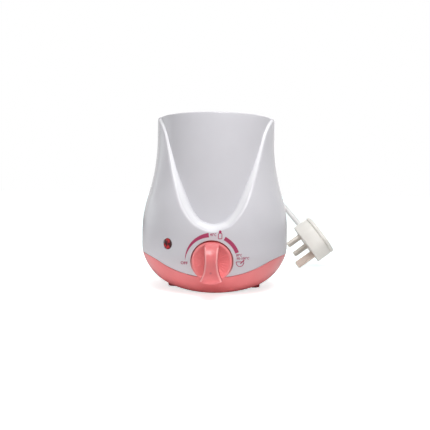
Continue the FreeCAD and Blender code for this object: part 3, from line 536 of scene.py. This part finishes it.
def stroke(points, width=0.62):
    """A line of even width along (x, z) points, its ends square."""
    bm = bmesh.new()
    sides = []
    for k, (x, z) in enumerate(points):
        before, after = Vector(points[max(k - 1, 0)]), Vector(points[min(k + 1, len(points) - 1)])
        way = (after - before).normalized() * width / 2
        sides.append((bm.verts.new((x - way.y, 0, z + way.x)), bm.verts.new((x + way.y, 0, z - way.x))))
    for (a, b), (c, d) in zip(sides, sides[1:]):
        bm.faces.new((a, b, d, c))
    return bm


bottle_sign = ((-1.2, -3.2), (1.2, -3.2), (1.4, -2.9), (1.4, 0.4), (0.7, 1.3), (0.7, 1.9), (0.3, 2.3),
               (0.3, 3.2), (-0.3, 3.2), (-0.3, 2.3), (-0.7, 1.9), (-0.7, 1.3), (-1.4, 0.4), (-1.4, -2.9),
               (-1.2, -3.2))
printed("dial_bottle", stroke([(6.3 + x, 51.9 + z) for x, z in bottle_sign]))
printed("dial_bottle_cap", stroke([(6.3, 52.7), (6.3, 54.2), (6.3, 55.0)], 2.0))
bowl_sign = [(3.1 * math.cos(t), 4.0 * math.sin(t)) for t in spread(-math.pi, 0, 12) + [0]]
printed("dial_bowl", stroke([(22.3 + x, 30.2 + z) for x, z in bowl_sign + bowl_sign[:1]]))
printed("dial_spoon", stroke([(22.6, 28.7), (23.6, 29.6), (24.6, 30.6), (25.6, 31.6)], 0.9))

# Control knob: pink polypropylene, a dished disc with a waisted grip bar, pushed on the spindle.
# The bar has a ridge, a hollow for the thumb with a moulded pip, and a flared foot, all with rounded edges.
knob_pink = moulded("knob_pink", (0.84, 0.245, 0.25, 1), (0.8, 0.22, 0.23, 1), 0.25)
disc_section = [(0, -54.6), (16.0, -54.6), (16.3, -54.9), (16.3, -62.5)]
disc_section += [(14.5 + 1.8 * math.cos(t), -62.7 - 1.8 * math.sin(t)) for t in (0.35, 0.7, 1.05, 1.4)]
disc_section += [(14.0, -64.45), (13.5, -64.2)]
disc_section += [(r, -62.0 - 2.1 * (r / 13.5) ** 2) for r in (12, 9, 6, 3, 0)]
ribs, rib_height, rib_start, rib_end = 30, 0.12, 5, 13


def on_disc(r, y, turn):
    """A point of the disc, with fine ribs on its face."""
    if rib_start < r < rib_end:
        y += rib_height * math.cos(ribs * turn)
    return Vector((r * math.sin(turn), y, knob_height + r * math.cos(turn)))


piece("knob_disc", turned(180, disc_section, on_disc), knob_pink, ["knob"], "knob", 45)
grip_top, grip_shoulder = 15.9, 21.0
foot_radius, foot_from, foot_to, foot_start = 16.25, -58.0, -90.0, -13.6
grip_round, foot_round, foot_top = 1.3, 0.7, -13.0
grip_root, spine_half, thumb_dish = 60.5, 11.5, 0.8
side_rows, edge_rows, face_rows = 4, 7, 7
grip_rows = side_rows + edge_rows + face_rows


def grip_front(z):
    """How far forward the grip bar reaches at a height over the knob's axis."""
    return -through([(-16.2, 76.3), (-14.8, 76.5), (-13.2, 76.5), (-11.5, 76.4), (-9.5, 76.7), (-6.0, 77.9),
                     (-2.5, 79.2), (1.0, 79.9), (4.5, 79.5), (8.6, 77.7), (12.0, 74.3), (14.4, 69.8),
                     (15.9, 65.2)], z)


def grip_half(z):
    """Half of the grip bar's width at a height over the knob's axis."""
    return through([(-13.6, 8.5), (-11.0, 7.2), (-7.0, 5.8), (0.0, 4.85), (7.0, 5.05), (14.85, 5.75)], z)


def grip_outline():
    """The bar seen from the front: rounded top, waist and flared foot."""
    half = []
    for k in range(7):
        turn = math.radians(90 - grip_shoulder * k / 6)
        half.append((grip_top * math.cos(turn), grip_top * math.sin(turn)))
    shoulder = half[-1][1]
    for k in range(1, 40):
        z = shoulder + (foot_start - shoulder) * k / 40
        half.append((grip_half(z), z))
    for k in range(9):
        turn = math.radians(foot_from + (foot_to - foot_from) * k / 8)
        half.append((foot_radius * math.cos(turn), foot_radius * math.sin(turn)))
    return half + [(-x, z) for x, z in half[-2:0:-1]]


grip_ring = grip_outline()


def grip_bar(column, row):
    """Rows run from the disc out along the bar's side, over its rounded edge and in to its middle line."""
    x, z = grip_ring[column % len(grip_ring)]
    soft = grip_round if z > foot_top else foot_round
    spine = min(max(z, -spine_half), spine_half)
    past_side, past_edge = row - side_rows, row - side_rows - edge_rows
    if past_side <= 0:
        inset, back = 0.0, (grip_front(z) + soft + grip_root) * row / side_rows - grip_root - grip_front(z)
    elif past_edge <= 0:
        turn = math.pi / 2 * past_side / edge_rows
        inset, back = soft * (1 - math.cos(turn)), soft * (1 - math.sin(turn))
    else:
        inset, back = soft, thumb_dish * math.sin(math.pi / 2 * past_edge / face_rows)
    keep = max(1 - inset / math.hypot(x, z - spine), 0)
    if past_edge > 0:
        keep = keep * (grip_rows - row) / face_rows
    px, pz = x * keep, spine + (z - spine) * keep
    return Vector((px, grip_front(pz) + back, knob_height + pz))


# The grip's pink is a darker copy of the knob's, painted shade on the bar; its last colour is the painted
# highlight.
grip_painted_shade_and_highlight = moulded("grip_painted_shade_and_highlight", (0.77, 0.185, 0.19, 1), (0.74, 0.17, 0.178, 1), 0.22, (0.9, 0.42, 0.42, 1))
grip = wrapped_grid(len(grip_ring), grip_rows, grip_bar)
# Painted highlight: a paler line along each rounded side edge of the bar, on its front between these heights.
grip_highlight_low, grip_highlight_high, grip_highlight_deep = -14, 12, 2
grip_highlight_inset, grip_highlight_half = 0.6, 0.8
grip_highlight = grip.verts.layers.float.new("edge")
for v in grip.verts:
    z = v.co.z - knob_height
    if grip_highlight_low < z < grip_highlight_high and v.co.y < grip_front(z) + grip_highlight_deep:
        v[grip_highlight] = held(1 - abs(grip_half(z) - abs(v.co.x) - grip_highlight_inset) / grip_highlight_half)
piece("knob_grip", grip, grip_painted_shade_and_highlight, (), "knob", 50)
# The pip is painted a darker red than the grip around it, as painted shade in the thumb hollow.
pip_painted_shade = moulded("pip_painted_shade", (0.55, 0.13, 0.14, 1), (0.5, 0.11, 0.12, 1), 0.3)
pip_radius, pip_flat, pip_left, pip_down, pip_sunk = 0.9, 0.15, 0.3, 7.2, 0.75
pip = bmesh.new()
bmesh.ops.create_uvsphere(pip, u_segments=32, v_segments=16, radius=pip_radius)
for v in pip.verts:
    z = v.co.z - pip_down
    v.co = Vector((v.co.x - pip_left, grip_front(z) + pip_sunk + pip_flat * v.co.y, knob_height + z))
piece("grip_pip", pip, pip_painted_shade, (), "knob")

# Indicator: a clear red lens with cut facets, clipped into the bell to the left of the dial.
# A ring behind the wall holds it, and the neon lamp stands inside its barrel.
lens_red, lens_shader, lens_where = start_material("lens_red", IOR=1.49)
# The lens's colour is painted in near black and bright red patches, as painted shade and glints in its facets.
painted_glint_cells = lens_where.node("ShaderNodeTexVoronoi", None, {"Vector": lens_where, "Scale": 0.55}, "Color").axis("X")
feed(lens_shader, painted_glint_cells.between(0.5, 0.95).mix((0.05, 0.003, 0.005, 1), (0.55, 0.008, 0.016, 1)),
     lens_where.noise(0.8) * 0.1 + 0.12, lens_where.noise(0.5, 1.0).bump(0.02))
lens_section = [(0, 65.38, 0), (1.5, 65.38, 1), (3.0, 65.2, 1), (4.1, 64.85, 0.5), (4.5, 64.6, 0),
                (4.5, 64.0, 0), (3.7, 64.0, 0), (3.7, 54.0, 0), (2.5, 54.0, 0), (2.5, 60.6, 0), (0, 60.6, 0)]
half_facet, facet_depth = math.pi / 8, 0.8


def on_lens(r, out, flat, turn):
    """Eight-sided facets that fall from a small table to a round girdle, and the barrel behind."""
    wedge = math.cos(half_facet) / math.cos(turn % (2 * half_facet) - half_facet)
    r *= 1 + (wedge / math.cos(half_facet) - 1) * flat * facet_depth
    return lens_at(out, r * math.cos(turn), r * math.sin(turn))


piece("indicator_facets", turned(48, lens_section, on_lens), lens_red, ["indicator_lens"],
      crease=8)

# Heating well: a drawn aluminium cup, anodised, that hangs by its flange on a gasket in the housing's rim.
# Its mouth is rolled, and the drawing and turning marks run round it.
well_metal, well_shader, well_at = start_material("well_metal", Metallic=1.0)
turning = well_at.node("ShaderNodeCombineXYZ", None, {
    0: (well_at.axis("X") ** 2.0 + well_at.axis("Y") ** 2.0) ** 0.5 * 6.0, 2: well_at.axis("Z") * 6.0})
feed(well_shader, (turning.noise(1.0, 3.0) * 0.5 + well_at.noise(30.0) * 0.5).between(0.3, 0.7)
     .mix((0.66, 0.66, 0.67, 1), (0.54, 0.54, 0.56, 1)),
     turning.noise(1.0, 2.0) * 0.2 + 0.24, turning.noise(1.0, 1.0).bump(0.012))
well_radius, well_outside = 42.0, 43.5
well_floor, well_bottom = 54.0, 52.5
corner_middle, corner_height, corner_inside, corner_outside = 36.0, 60.0, 6.0, 7.5
mouth_middle, mouth_height, mouth_roll = 44.0, 147.0, 2.0
quarter = (0.4, 0.8, 1.2, math.pi / 2)
well_section = [(0, well_bottom), (corner_middle, well_bottom)]
well_section += [(corner_middle + corner_outside * math.sin(t), corner_height - corner_outside * math.cos(t))
                 for t in quarter]
well_section += [(well_outside, 147.5), (46.7, 147.5), (47.0, 147.8), (47.0, 148.7), (46.7, 149.0),
                 (mouth_middle, 149.0)]
well_section += [(mouth_middle - mouth_roll * math.sin(t), mouth_height + mouth_roll * math.cos(t))
                 for t in quarter]
well_section += [(well_radius, 120.0), (well_radius, 90.0), (well_radius, corner_height)]
well_section += [(corner_middle + corner_inside * math.cos(t), corner_height - corner_inside * math.sin(t))
                 for t in quarter]
well_section += [(30.0, well_floor), (29.4, 54.35), (28.0, 54.35), (27.4, well_floor), (0, well_floor)]


def on_well(r, z, turn):
    return Vector((r * math.sin(turn), -r * math.cos(turn), z))


piece("well_cup", turned(180, well_section, on_well), well_metal, ["inner_cup"])

# Feet: four soft rubber pads, shaped to the bowl above them and stuck on; their dark red is painted shade.
# Two stand out at the sides, and two lie under the flat bottom, in front and behind.
# Painted shade: the pads are the base's pink, darkened as it looks in shadow under the bowl.
foot_rubber = grained("foot_rubber", (0.3, 0.05, 0.055, 1), (0.24, 0.035, 0.04, 1), (3.0, 4.0),
                      (0.8, 2.0, 0.2, 0.55), (0.25, 2.0, 0.04))
pad_section = [(0, 0.5), (3.2, 0.5), (3.6, 0), (4.8, 0), (5.3, 0.25), (5.5, 0.9), (5.5, None), (2.5, None),
               (0, None)]
flat_radius, pad_sunk, pad_least = 34.7, 0.12, 1.38


def pad(x, y):
    """One pad; its upper side, which has no height of its own, runs just inside the bowl."""
    def on_pad(r, z, turn):
        at = Vector((x + r * math.cos(turn), y + r * math.sin(turn), 0))
        at.z = max(bowl_edge(max(at.length, flat_radius)) - pad_sunk, pad_least) if z is None else z
        return at
    return turned(48, pad_section, on_pad)


def joined(parts):
    """Several meshes as one."""
    whole = bmesh.new()
    for part in parts:
        mesh = bpy.data.meshes.new("part")
        part.to_mesh(mesh)
        part.free()
        whole.from_mesh(mesh)
        bpy.data.meshes.remove(mesh)
    return whole


feet = joined([pad(x, y) for x, y in ((36, 0), (-36, 0), (0, -26), (0, 26))])
piece("rubber_feet", feet, foot_rubber, ["feet"])

# Strain relief: a tapered, grooved sleeve of white flexible plastic.
# It is moulded on the cord where it leaves the base. A collar stops it against the bowl, and rings round it
# let it bend.
cord_white, cord_shader, cord_at = start_material("cord_white", Specular_IOR_Level=0.45)
feed(cord_shader, cord_at.noise(14.0, 3.0).between(0.3, 0.7).mix((0.9, 0.9, 0.89, 1), (0.86, 0.86, 0.85, 1)),
     cord_at.noise(2.0, 3.0) * 0.14 + 0.33,
     (cord_at.noise(0.5, 2.0) * 0.6 + cord_at.noise(6.0, 1.0)).bump(0.03))
relief_section = [(3.0, 56.5), (5.4, 56.5), (5.4, 62.9), (6.7, 62.9), (7.0, 63.2), (7.0, 64.9), (6.7, 65.2)]
one_ring = ((-0.1, 0), (0, 0.3), (-0.22, 2.0), (-0.4, 2.2), (-1.1, 2.4), (-1.1, 3.1))
taper_from, taper_length, taper_wide, taper_by = 65.2, 14.8, 6.0, 2.0
ring_from, ring_pitch = 65.4, 3.3
for number in range(4):
    y = ring_from + ring_pitch * number
    r = taper_wide - taper_by * (y - taper_from) / taper_length
    relief_section += [(r + out, y + along) for out, along in one_ring]
relief_section += [(4.1, 78.7), (4.05, 79.6), (3.8, 80.0), (3.0, 80.0)]


def on_relief(r, y, turn):
    return Vector((r * math.cos(turn), y, cord_height + r * math.sin(turn)))


piece("cord_strain_relief", turned(64, relief_section, on_relief, True), cord_white,
      ["strain_relief"])

# Mains cord: white round PVC lead, six millimetres thick and about 1.17 m long, from the base to the plug.
# Its spare length is coiled flat behind the object, and the tail arches up from there to the plug.
plug_centre = Vector((103.169, 140.725, 24.645))
plug_long = Vector((0.43191, -0.69466, -0.57525))
plug_cross = Vector((0.41709, 0.71934, -0.55551))
plug_back = Vector((0.79968, 0, 0.60042))
sleeve_end, sleeve_height = 29.0, 9.0
sleeve_tip = plug_centre - plug_long * sleeve_end + plug_back * sleeve_height
coil_x, coil_y = -33.8, 121.6
coil_wide, coil_narrow, coil_pitch = 38.0, 23.15, 6.6
upper_layer, lower_layer = 10.5, 3.9
drop_from, drop_to, drop_squeeze = 810, 990, 1.3
cord_points = [(0, 80, cord_height), (0, 85.4, cord_height), (0.5, 90.7, 18.9), (1.4, 95.6, 16.8),
               (2.8, 99.9, 13.8), (3.7, 104.8, 11.6), (4.2, 110.2, upper_layer), (4.2, 115.6, upper_layer)]
for step in range(115):
    angle = 15.0 * step
    if angle <= drop_from:
        r, z = coil_wide - coil_pitch * angle / 360, upper_layer
    elif angle >= drop_to:
        r, z = coil_narrow + coil_pitch * (angle - drop_to) / 360, lower_layer
    else:
        half_turn = math.pi * (angle - drop_from) / (drop_to - drop_from)
        r = coil_narrow - drop_squeeze * math.sin(half_turn)
        z = lower_layer + (upper_layer - lower_layer) / 2 * (1 + math.cos(half_turn))
    turn = math.radians(angle)
    cord_points.append((coil_x + r * math.cos(turn), coil_y + r * math.sin(turn), z))
cord_points += [(-27.8, 85.07, lower_layer), (-11.8, 84.6, lower_layer), (6, 87, 5), (20.3, 91.8, 14.2),
                (29.3, 98.7, 28.3), (33.6, 107.2, 44.2), (34.9, 117.4, 59.8), (35.7, 129.8, 73.8),
                (38.1, 144.4, 84.6), (44.1, 160.1, 90.4), (54.6, 173.9, 89.1), (67.7, 181.4, 81),
                (80.3, 180.6, 68.9), sleeve_tip - plug_long * 17, sleeve_tip]
line = bpy.data.curves.new("mains_cord", "CURVE")
line.dimensions = "3D"
line.bevel_depth = 0.003
line.bevel_resolution = 7
line.resolution_u = 6
line.use_fill_caps = True
spline = line.splines.new("NURBS")
spline.points.add(len(cord_points) - 1)
for point, at in zip(spline.points, cord_points):
    point.co = (*(Vector(at) * mm), 1)
spline.order_u = 3
spline.use_endpoint_u = True
line.materials.append(cord_white)
cord = placed("mains_cord", line)
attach(cord, "warmer")
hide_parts("cord_lead", "cord_coil", "cord_tail")

# Cord tie: a soft flat band of pale silicone, moulded as a loop.
# It goes round the coil's turns on one side and holds them by its own stretch.
silicone = grained("silicone", (0.74, 0.74, 0.72, 1), (0.66, 0.66, 0.65, 1), (4.0, 3.0), (1.0, 2.0, 0.15, 0.5),
                   (0.3, 2.0, 0.03))
tie_low, tie_high = (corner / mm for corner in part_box("cord_tie"))
tie_middle, tie_half = (tie_low + tie_high) / 2, (tie_high - tie_low) / 2
tie_corner = 3.6
tie_section = [(0.6, -4.2), (0.45, -4.45), (0.15, -4.45), (0, -4.2), (0, 4.2), (0.15, 4.45), (0.45, 4.45),
               (0.6, 4.2)]


def on_tie(inwards, across, turn):
    """A rounded band section swept round a rounded box."""
    corner, right, up = tie_corner - inwards, math.cos(turn), math.sin(turn)
    x = math.copysign(tie_half.x - inwards - corner, right) + corner * right
    z = math.copysign(tie_half.z - inwards - corner, up) + corner * up
    return tie_middle + Vector((x, across, z))


piece("cord_strap", turned(96, tie_section, on_tie, True), silicone, ["cord_tie"])

# Plug: a cream moulded body in two halves with a shallow groove between them, standing on its pins.
# The fuse carrier sits in its face, and the cord comes in through a short tapered sleeve.
plug_cream = moulded("plug_cream", (0.9, 0.89, 0.84, 1), (0.86, 0.845, 0.79, 1), 0.34)
plug_end, plug_wide, plug_narrow, plug_corner = 22, 22.5, 11.5, 13


def at_plug(u, v, w):
    """A point given along the plug's long axis, its cross axis and out of its back."""
    return plug_centre + plug_long * u + plug_cross * v + plug_back * w


def shield_ring(inset):
    """The plug's outline from the cord's end round to the earth pin's end, moved in, its corners round."""
    end, wide, narrow, bend = plug_end - inset, plug_wide - inset, plug_narrow - inset / 2, plug_corner - inset
    corners = [Vector(c) for c in ((-end, -wide), (0, -wide), (end, -narrow), (end, narrow), (0, wide),
                                   (-end, wide))]
    arcs = []
    for k, here in enumerate(corners):
        way_in = (here - corners[k - 1]).normalized()
        turn = way_in.angle(corners[(k + 1) % 6] - here)
        inwards = Vector((-way_in.y, way_in.x)) * bend
        centre = here - way_in * bend * math.tan(turn / 2) + inwards
        arcs.append([centre - Matrix.Rotation(turn * q / 10, 2) @ inwards for q in range(11)])
    ring = []
    for arc, after in zip(arcs, arcs[1:] + arcs[:1]):
        ring += arc + [arc[-1].lerp(after[0], q / 4) for q in (1, 2, 3)]
    return ring


def shield_loft(levels):
    """Rings of the outline at (inset, height) levels, closed to a point at both ends."""
    columns = len(shield_ring(0))
    rings = [[(0, 0)] * columns if inset is None else shield_ring(inset) for inset, _ in levels]

    def place(column, row):
        return at_plug(*rings[row][column % columns], levels[row][1])
    return wrapped_grid(columns, len(levels) - 1, place)


front_levels = [(None, 0), (3.0, 0), (1.0, 0), (0.5, 0.12), (0.15, 0.45), (0, 1.0), (0, 9.0), (0, 16.6),
                (0.1, 16.95), (0.35, 17.1), (1.8, 17.1), (1.8, 18.0), (None, 18.0)]
rear_levels = [(None, 18.0), (1.8, 18.0), (0.3, 18.02), (0.08, 18.15), (0, 18.4), (0, 19.9), (0.15, 20.7),
               (0.6, 21.4), (1.3, 21.85), (2.1, 22.0), (7.0, 22.0), (7.5, 21.7), (12.0, 21.7), (None, 21.7)]
piece("plug_front", shield_loft(front_levels), plug_cream, ["plug_body"])
piece("plug_rear", shield_loft(rear_levels), plug_cream, ["plug_cover"])
sleeve_section = [(0, -20.0), (5.4, -20.0), (5.35, -22.0), (5.25, -22.6), (5.1, -23.4), (4.6, -23.6),
                  (4.6, -24.2), (4.95, -24.4), (4.8, -25.4), (4.3, -25.6), (4.3, -26.2), (4.6, -26.4),
                  (4.35, -28.3), (4.1, -28.9), (3.7, -sleeve_end), (0, -sleeve_end)]


def on_sleeve(r, u, turn):
    return at_plug(u, r * math.cos(turn), sleeve_height + r * math.sin(turn))


piece("plug_sleeve", turned(48, sleeve_section, on_sleeve), plug_cream)

# Plug pins: flat bars with chamfered tips, the line pins plated brass, the earth pin longer and moulded.
# The carrier for the fuse is a small flat drawer between them.
plated = grained("plated_brass", (0.8, 0.75, 0.69, 1), (0.74, 0.69, 0.62, 1), (3.0, 4.0), (0.6, 3.0, 0.2, 0.3),
                 (0.3, 2.0, 0.02), Metallic=0.4)
pin_plastic = moulded("pin_plastic", (0.7, 0.59, 0.52, 1), (0.62, 0.51, 0.44, 1), 0.4)
pin_place, pin_half, pin_tip = 11.115, 3.175, 1.0


def bar_at_plug(low, high, edge, tip=0.0):
    """A box in the plug's axes with softened edges, and a chamfered tip where asked."""
    bm = bmesh.new()
    bmesh.ops.create_cube(bm, size=1)
    middle, size = (Vector(low) + Vector(high)) / 2, Vector(high) - Vector(low)
    for v in bm.verts:
        v.co = v.co * size + middle
    if tip:
        ends = [e for e in bm.edges if all(v.co.z < low[2] + 0.01 for v in e.verts)]
        bmesh.ops.bevel(bm, geom=ends, offset=tip, affect="EDGES", segments=1, profile=0.5, material=-1)
    bmesh.ops.bevel(bm, geom=bm.edges[:], offset=edge, affect="EDGES", segments=3, profile=0.5, material=-1)
    for v in bm.verts:
        v.co = at_plug(*v.co)
    bmesh.ops.recalc_face_normals(bm, faces=bm.faces)
    return bm


line_pins = joined([bar_at_plug((-10, middle - pin_half, -17.7), (-6, middle + pin_half, 4), 0.3, pin_tip)
                    for middle in (-pin_place, pin_place)])
piece("plug_pins", line_pins, plated, ["plug_line_pins"])
earth_pin = bar_at_plug((10.23, -2, -22.73), (18.23, 2, 4), 0.35, pin_tip)
piece("plug_earth", earth_pin, pin_plastic, ["plug_earth_pin"])
drawer = joined([bar_at_plug((-19, -4, -0.05), (7, 4, 3), 0.3),
                 bar_at_plug((-17, -1.2, -0.25), (-14, 1.2, 1), 0.2)])
piece("plug_fuse_drawer", drawer, pin_plastic, ["fuse_carrier"])

# Inner pieces: heater, thermostat, lamp, terminals, leads and screws, hidden in the closed body.
# They stay as the frame has them, each with the finish of its own stuff.


def inner_finish(name, colour, shade, roughness, grain, **constants):
    return grained(name, colour, shade, (grain * 8, 4.0), (grain * 2, 2.0, 0.2, roughness - 0.1),
                   (grain, 2.0, 0.02), **constants)


inner_finishes = {
    "steel": inner_finish("steel", (0.5, 0.5, 0.51, 1), (0.4, 0.4, 0.42, 1), 0.32, 0.4, Metallic=1.0),
    "ceramic": inner_finish("ceramic", (0.74, 0.71, 0.63, 1), (0.68, 0.64, 0.56, 1), 0.4, 0.6),
    "black_resin": inner_finish("black_resin", (0.03, 0.03, 0.032, 1), (0.02, 0.02, 0.02, 1), 0.5, 0.5),
    "lamp_glass": inner_finish("lamp_glass", (0.9, 0.8, 0.76, 1), (0.86, 0.7, 0.62, 1), 0.12, 1.0,
                               Transmission_Weight=0.9),
    "insulation": inner_finish("insulation", (0.72, 0.72, 0.7, 1), (0.62, 0.62, 0.6, 1), 0.55, 0.5),
    "brass": grained("brass", (0.72, 0.52, 0.36, 1), (0.62, 0.44, 0.3, 1), (3.0, 4.0),
                     (0.6, 3.0, 0.25, 0.25), (0.3, 2.0, 0.02), Metallic=1.0),
    "silicone": silicone, "well_metal": well_metal, "cord_white": cord_white,
}
for part in frame["record"]["subparts"]:
    node = frame["nodes"][part["node"]]
    if part["material_slot"] in inner_finishes:
        node.data.materials.clear()
        node.data.materials.append(inner_finishes[part["material_slot"]])

# Floor: a wide, matte white table with a faint grain, which the object stands on.
# To the camera it glows a little, as a lit backdrop does; the object sees only its plain paint.
floor_paint, floor_shader, floor_at = start_material("floor_paint", Specular_IOR_Level=0.0)
floor_glow = 0.71
watched = Sock(floor_at.tree, floor_at.tree.nodes.new("ShaderNodeLightPath").outputs["Is Camera Ray"])
seen_paint = floor_at.noise(40.0, 3.0).between(0.3, 0.7).mix((0.8, 0.91, 0.91, 1), (0.79, 0.89, 0.89, 1))
feed(floor_shader, watched.mix((0.85, 0.85, 0.85, 1), seen_paint), floor_at.noise(2.0) * 0.1 + 0.8)
floor_shader.inputs["Emission Strength"].default_value = floor_glow
seen_glow = watched.mix((0, 0, 0, 1), (0.94, 1, 1, 1))
floor_at.tree.links.new(seen_glow.socket, floor_shader.inputs["Emission Color"])
floor_bm = bmesh.new()
bmesh.ops.create_grid(floor_bm, x_segments=1, y_segments=1, size=30.0)
floor = placed("floor", bpy.data.meshes.new("floor"))
floor_bm.to_mesh(floor.data)
floor_bm.free()
floor.data.materials.append(floor_paint)

# Studio: white surroundings, and an overhead lamp wide enough for soft shadows.
# Boxes stand at both sides, in front above and behind, and two weak, narrow ones light the low front and
# the low left. Sizes are in metres here.
world = bpy.data.worlds.new("studio")
bpy.context.scene.world = world
world.use_nodes = True
background = world.node_tree.nodes["Background"]
path = world.node_tree.nodes.new("ShaderNodeLightPath")
direct, mirrored, clear = (Sock(world.node_tree, path.outputs[f"Is {ray} Ray"])
                           for ray in ("Camera", "Glossy", "Transmission"))
ambient = 0.12
strength = (direct + mirrored + clear).between(0.0, 1.0) * (1 - ambient) + ambient
background.inputs["Color"].default_value = (1, 1, 1, 1)
world.node_tree.links.new(strength.socket, background.inputs["Strength"])
overhead = placed("overhead", bpy.data.lights.new("overhead", "SUN"))
overhead.data.energy = 1.25
overhead.data.angle = math.radians(50)
overhead.rotation_euler = (math.radians(20), 0, 0)
wide_beam, narrow_beam = 180, 5


def softbox(name, at, aim, width, height, power, tint, beam=wide_beam):
    """A flat lamp that faces a point; one with a narrow beam leaves no mirror image on the gloss."""
    lamp = bpy.data.lights.new(name, "AREA")
    lamp.shape, lamp.size, lamp.size_y, lamp.energy = "RECTANGLE", width, height, power
    lamp.color, lamp.spread = tint, math.radians(beam)
    obj = placed(name, lamp)
    obj.location = at
    obj.visible_glossy = beam == wide_beam
    obj.rotation_euler = (Vector(aim) - Vector(at)).to_track_quat("-Z", "Y").to_euler()


cool, neutral = (0.92, 0.97, 1.0), (1.0, 0.985, 0.99)
softbox("left_box", (-0.75, 0.35, 0.06), (0, 0, 0.04), 0.5, 0.4, 0.6, cool)
softbox("right_box", (0.75, 0.6, 0.3), (0, 0, 0.08), 0.5, 0.8, 0.12, cool)
softbox("top_box", (0.09, -0.3, 0.46), (0, 0, 0.1), 0.3, 0.3, 1.5, neutral)
softbox("low_fill", (0, -0.6, 0.03), (0, -0.04, 0), 0.4, 0.04, 0.018, neutral, narrow_beam)
softbox("low_left", (-0.6, -0.12, 0.03), (-0.055, -0.01, 0.03), 0.1, 0.03, 0.003, neutral, narrow_beam)
softbox("back_box", (0.05, 0.9, 0.4), (0, 0, 0.08), 0.5, 0.5, 1.3, neutral)

# Camera: a little over half as high as the object, and a little to the right of its front.
# It is tipped slightly down and rolled by almost a degree.
camera = placed("camera", bpy.data.cameras.new("camera"))
distance, height, left = 0.479, 0.0845, 0.0003
yaw, tip, roll = math.radians(1.8), math.radians(90 - 2.38), math.radians(-0.9)
camera.location = (distance * math.sin(yaw) - left, -distance * math.cos(yaw), height)
camera.rotation_euler = (tip, roll, yaw)
camera.data.sensor_width = 36.0
camera.data.lens = 44.37
bpy.context.scene.camera = camera
bpy.context.scene.view_settings.view_transform = "Standard"
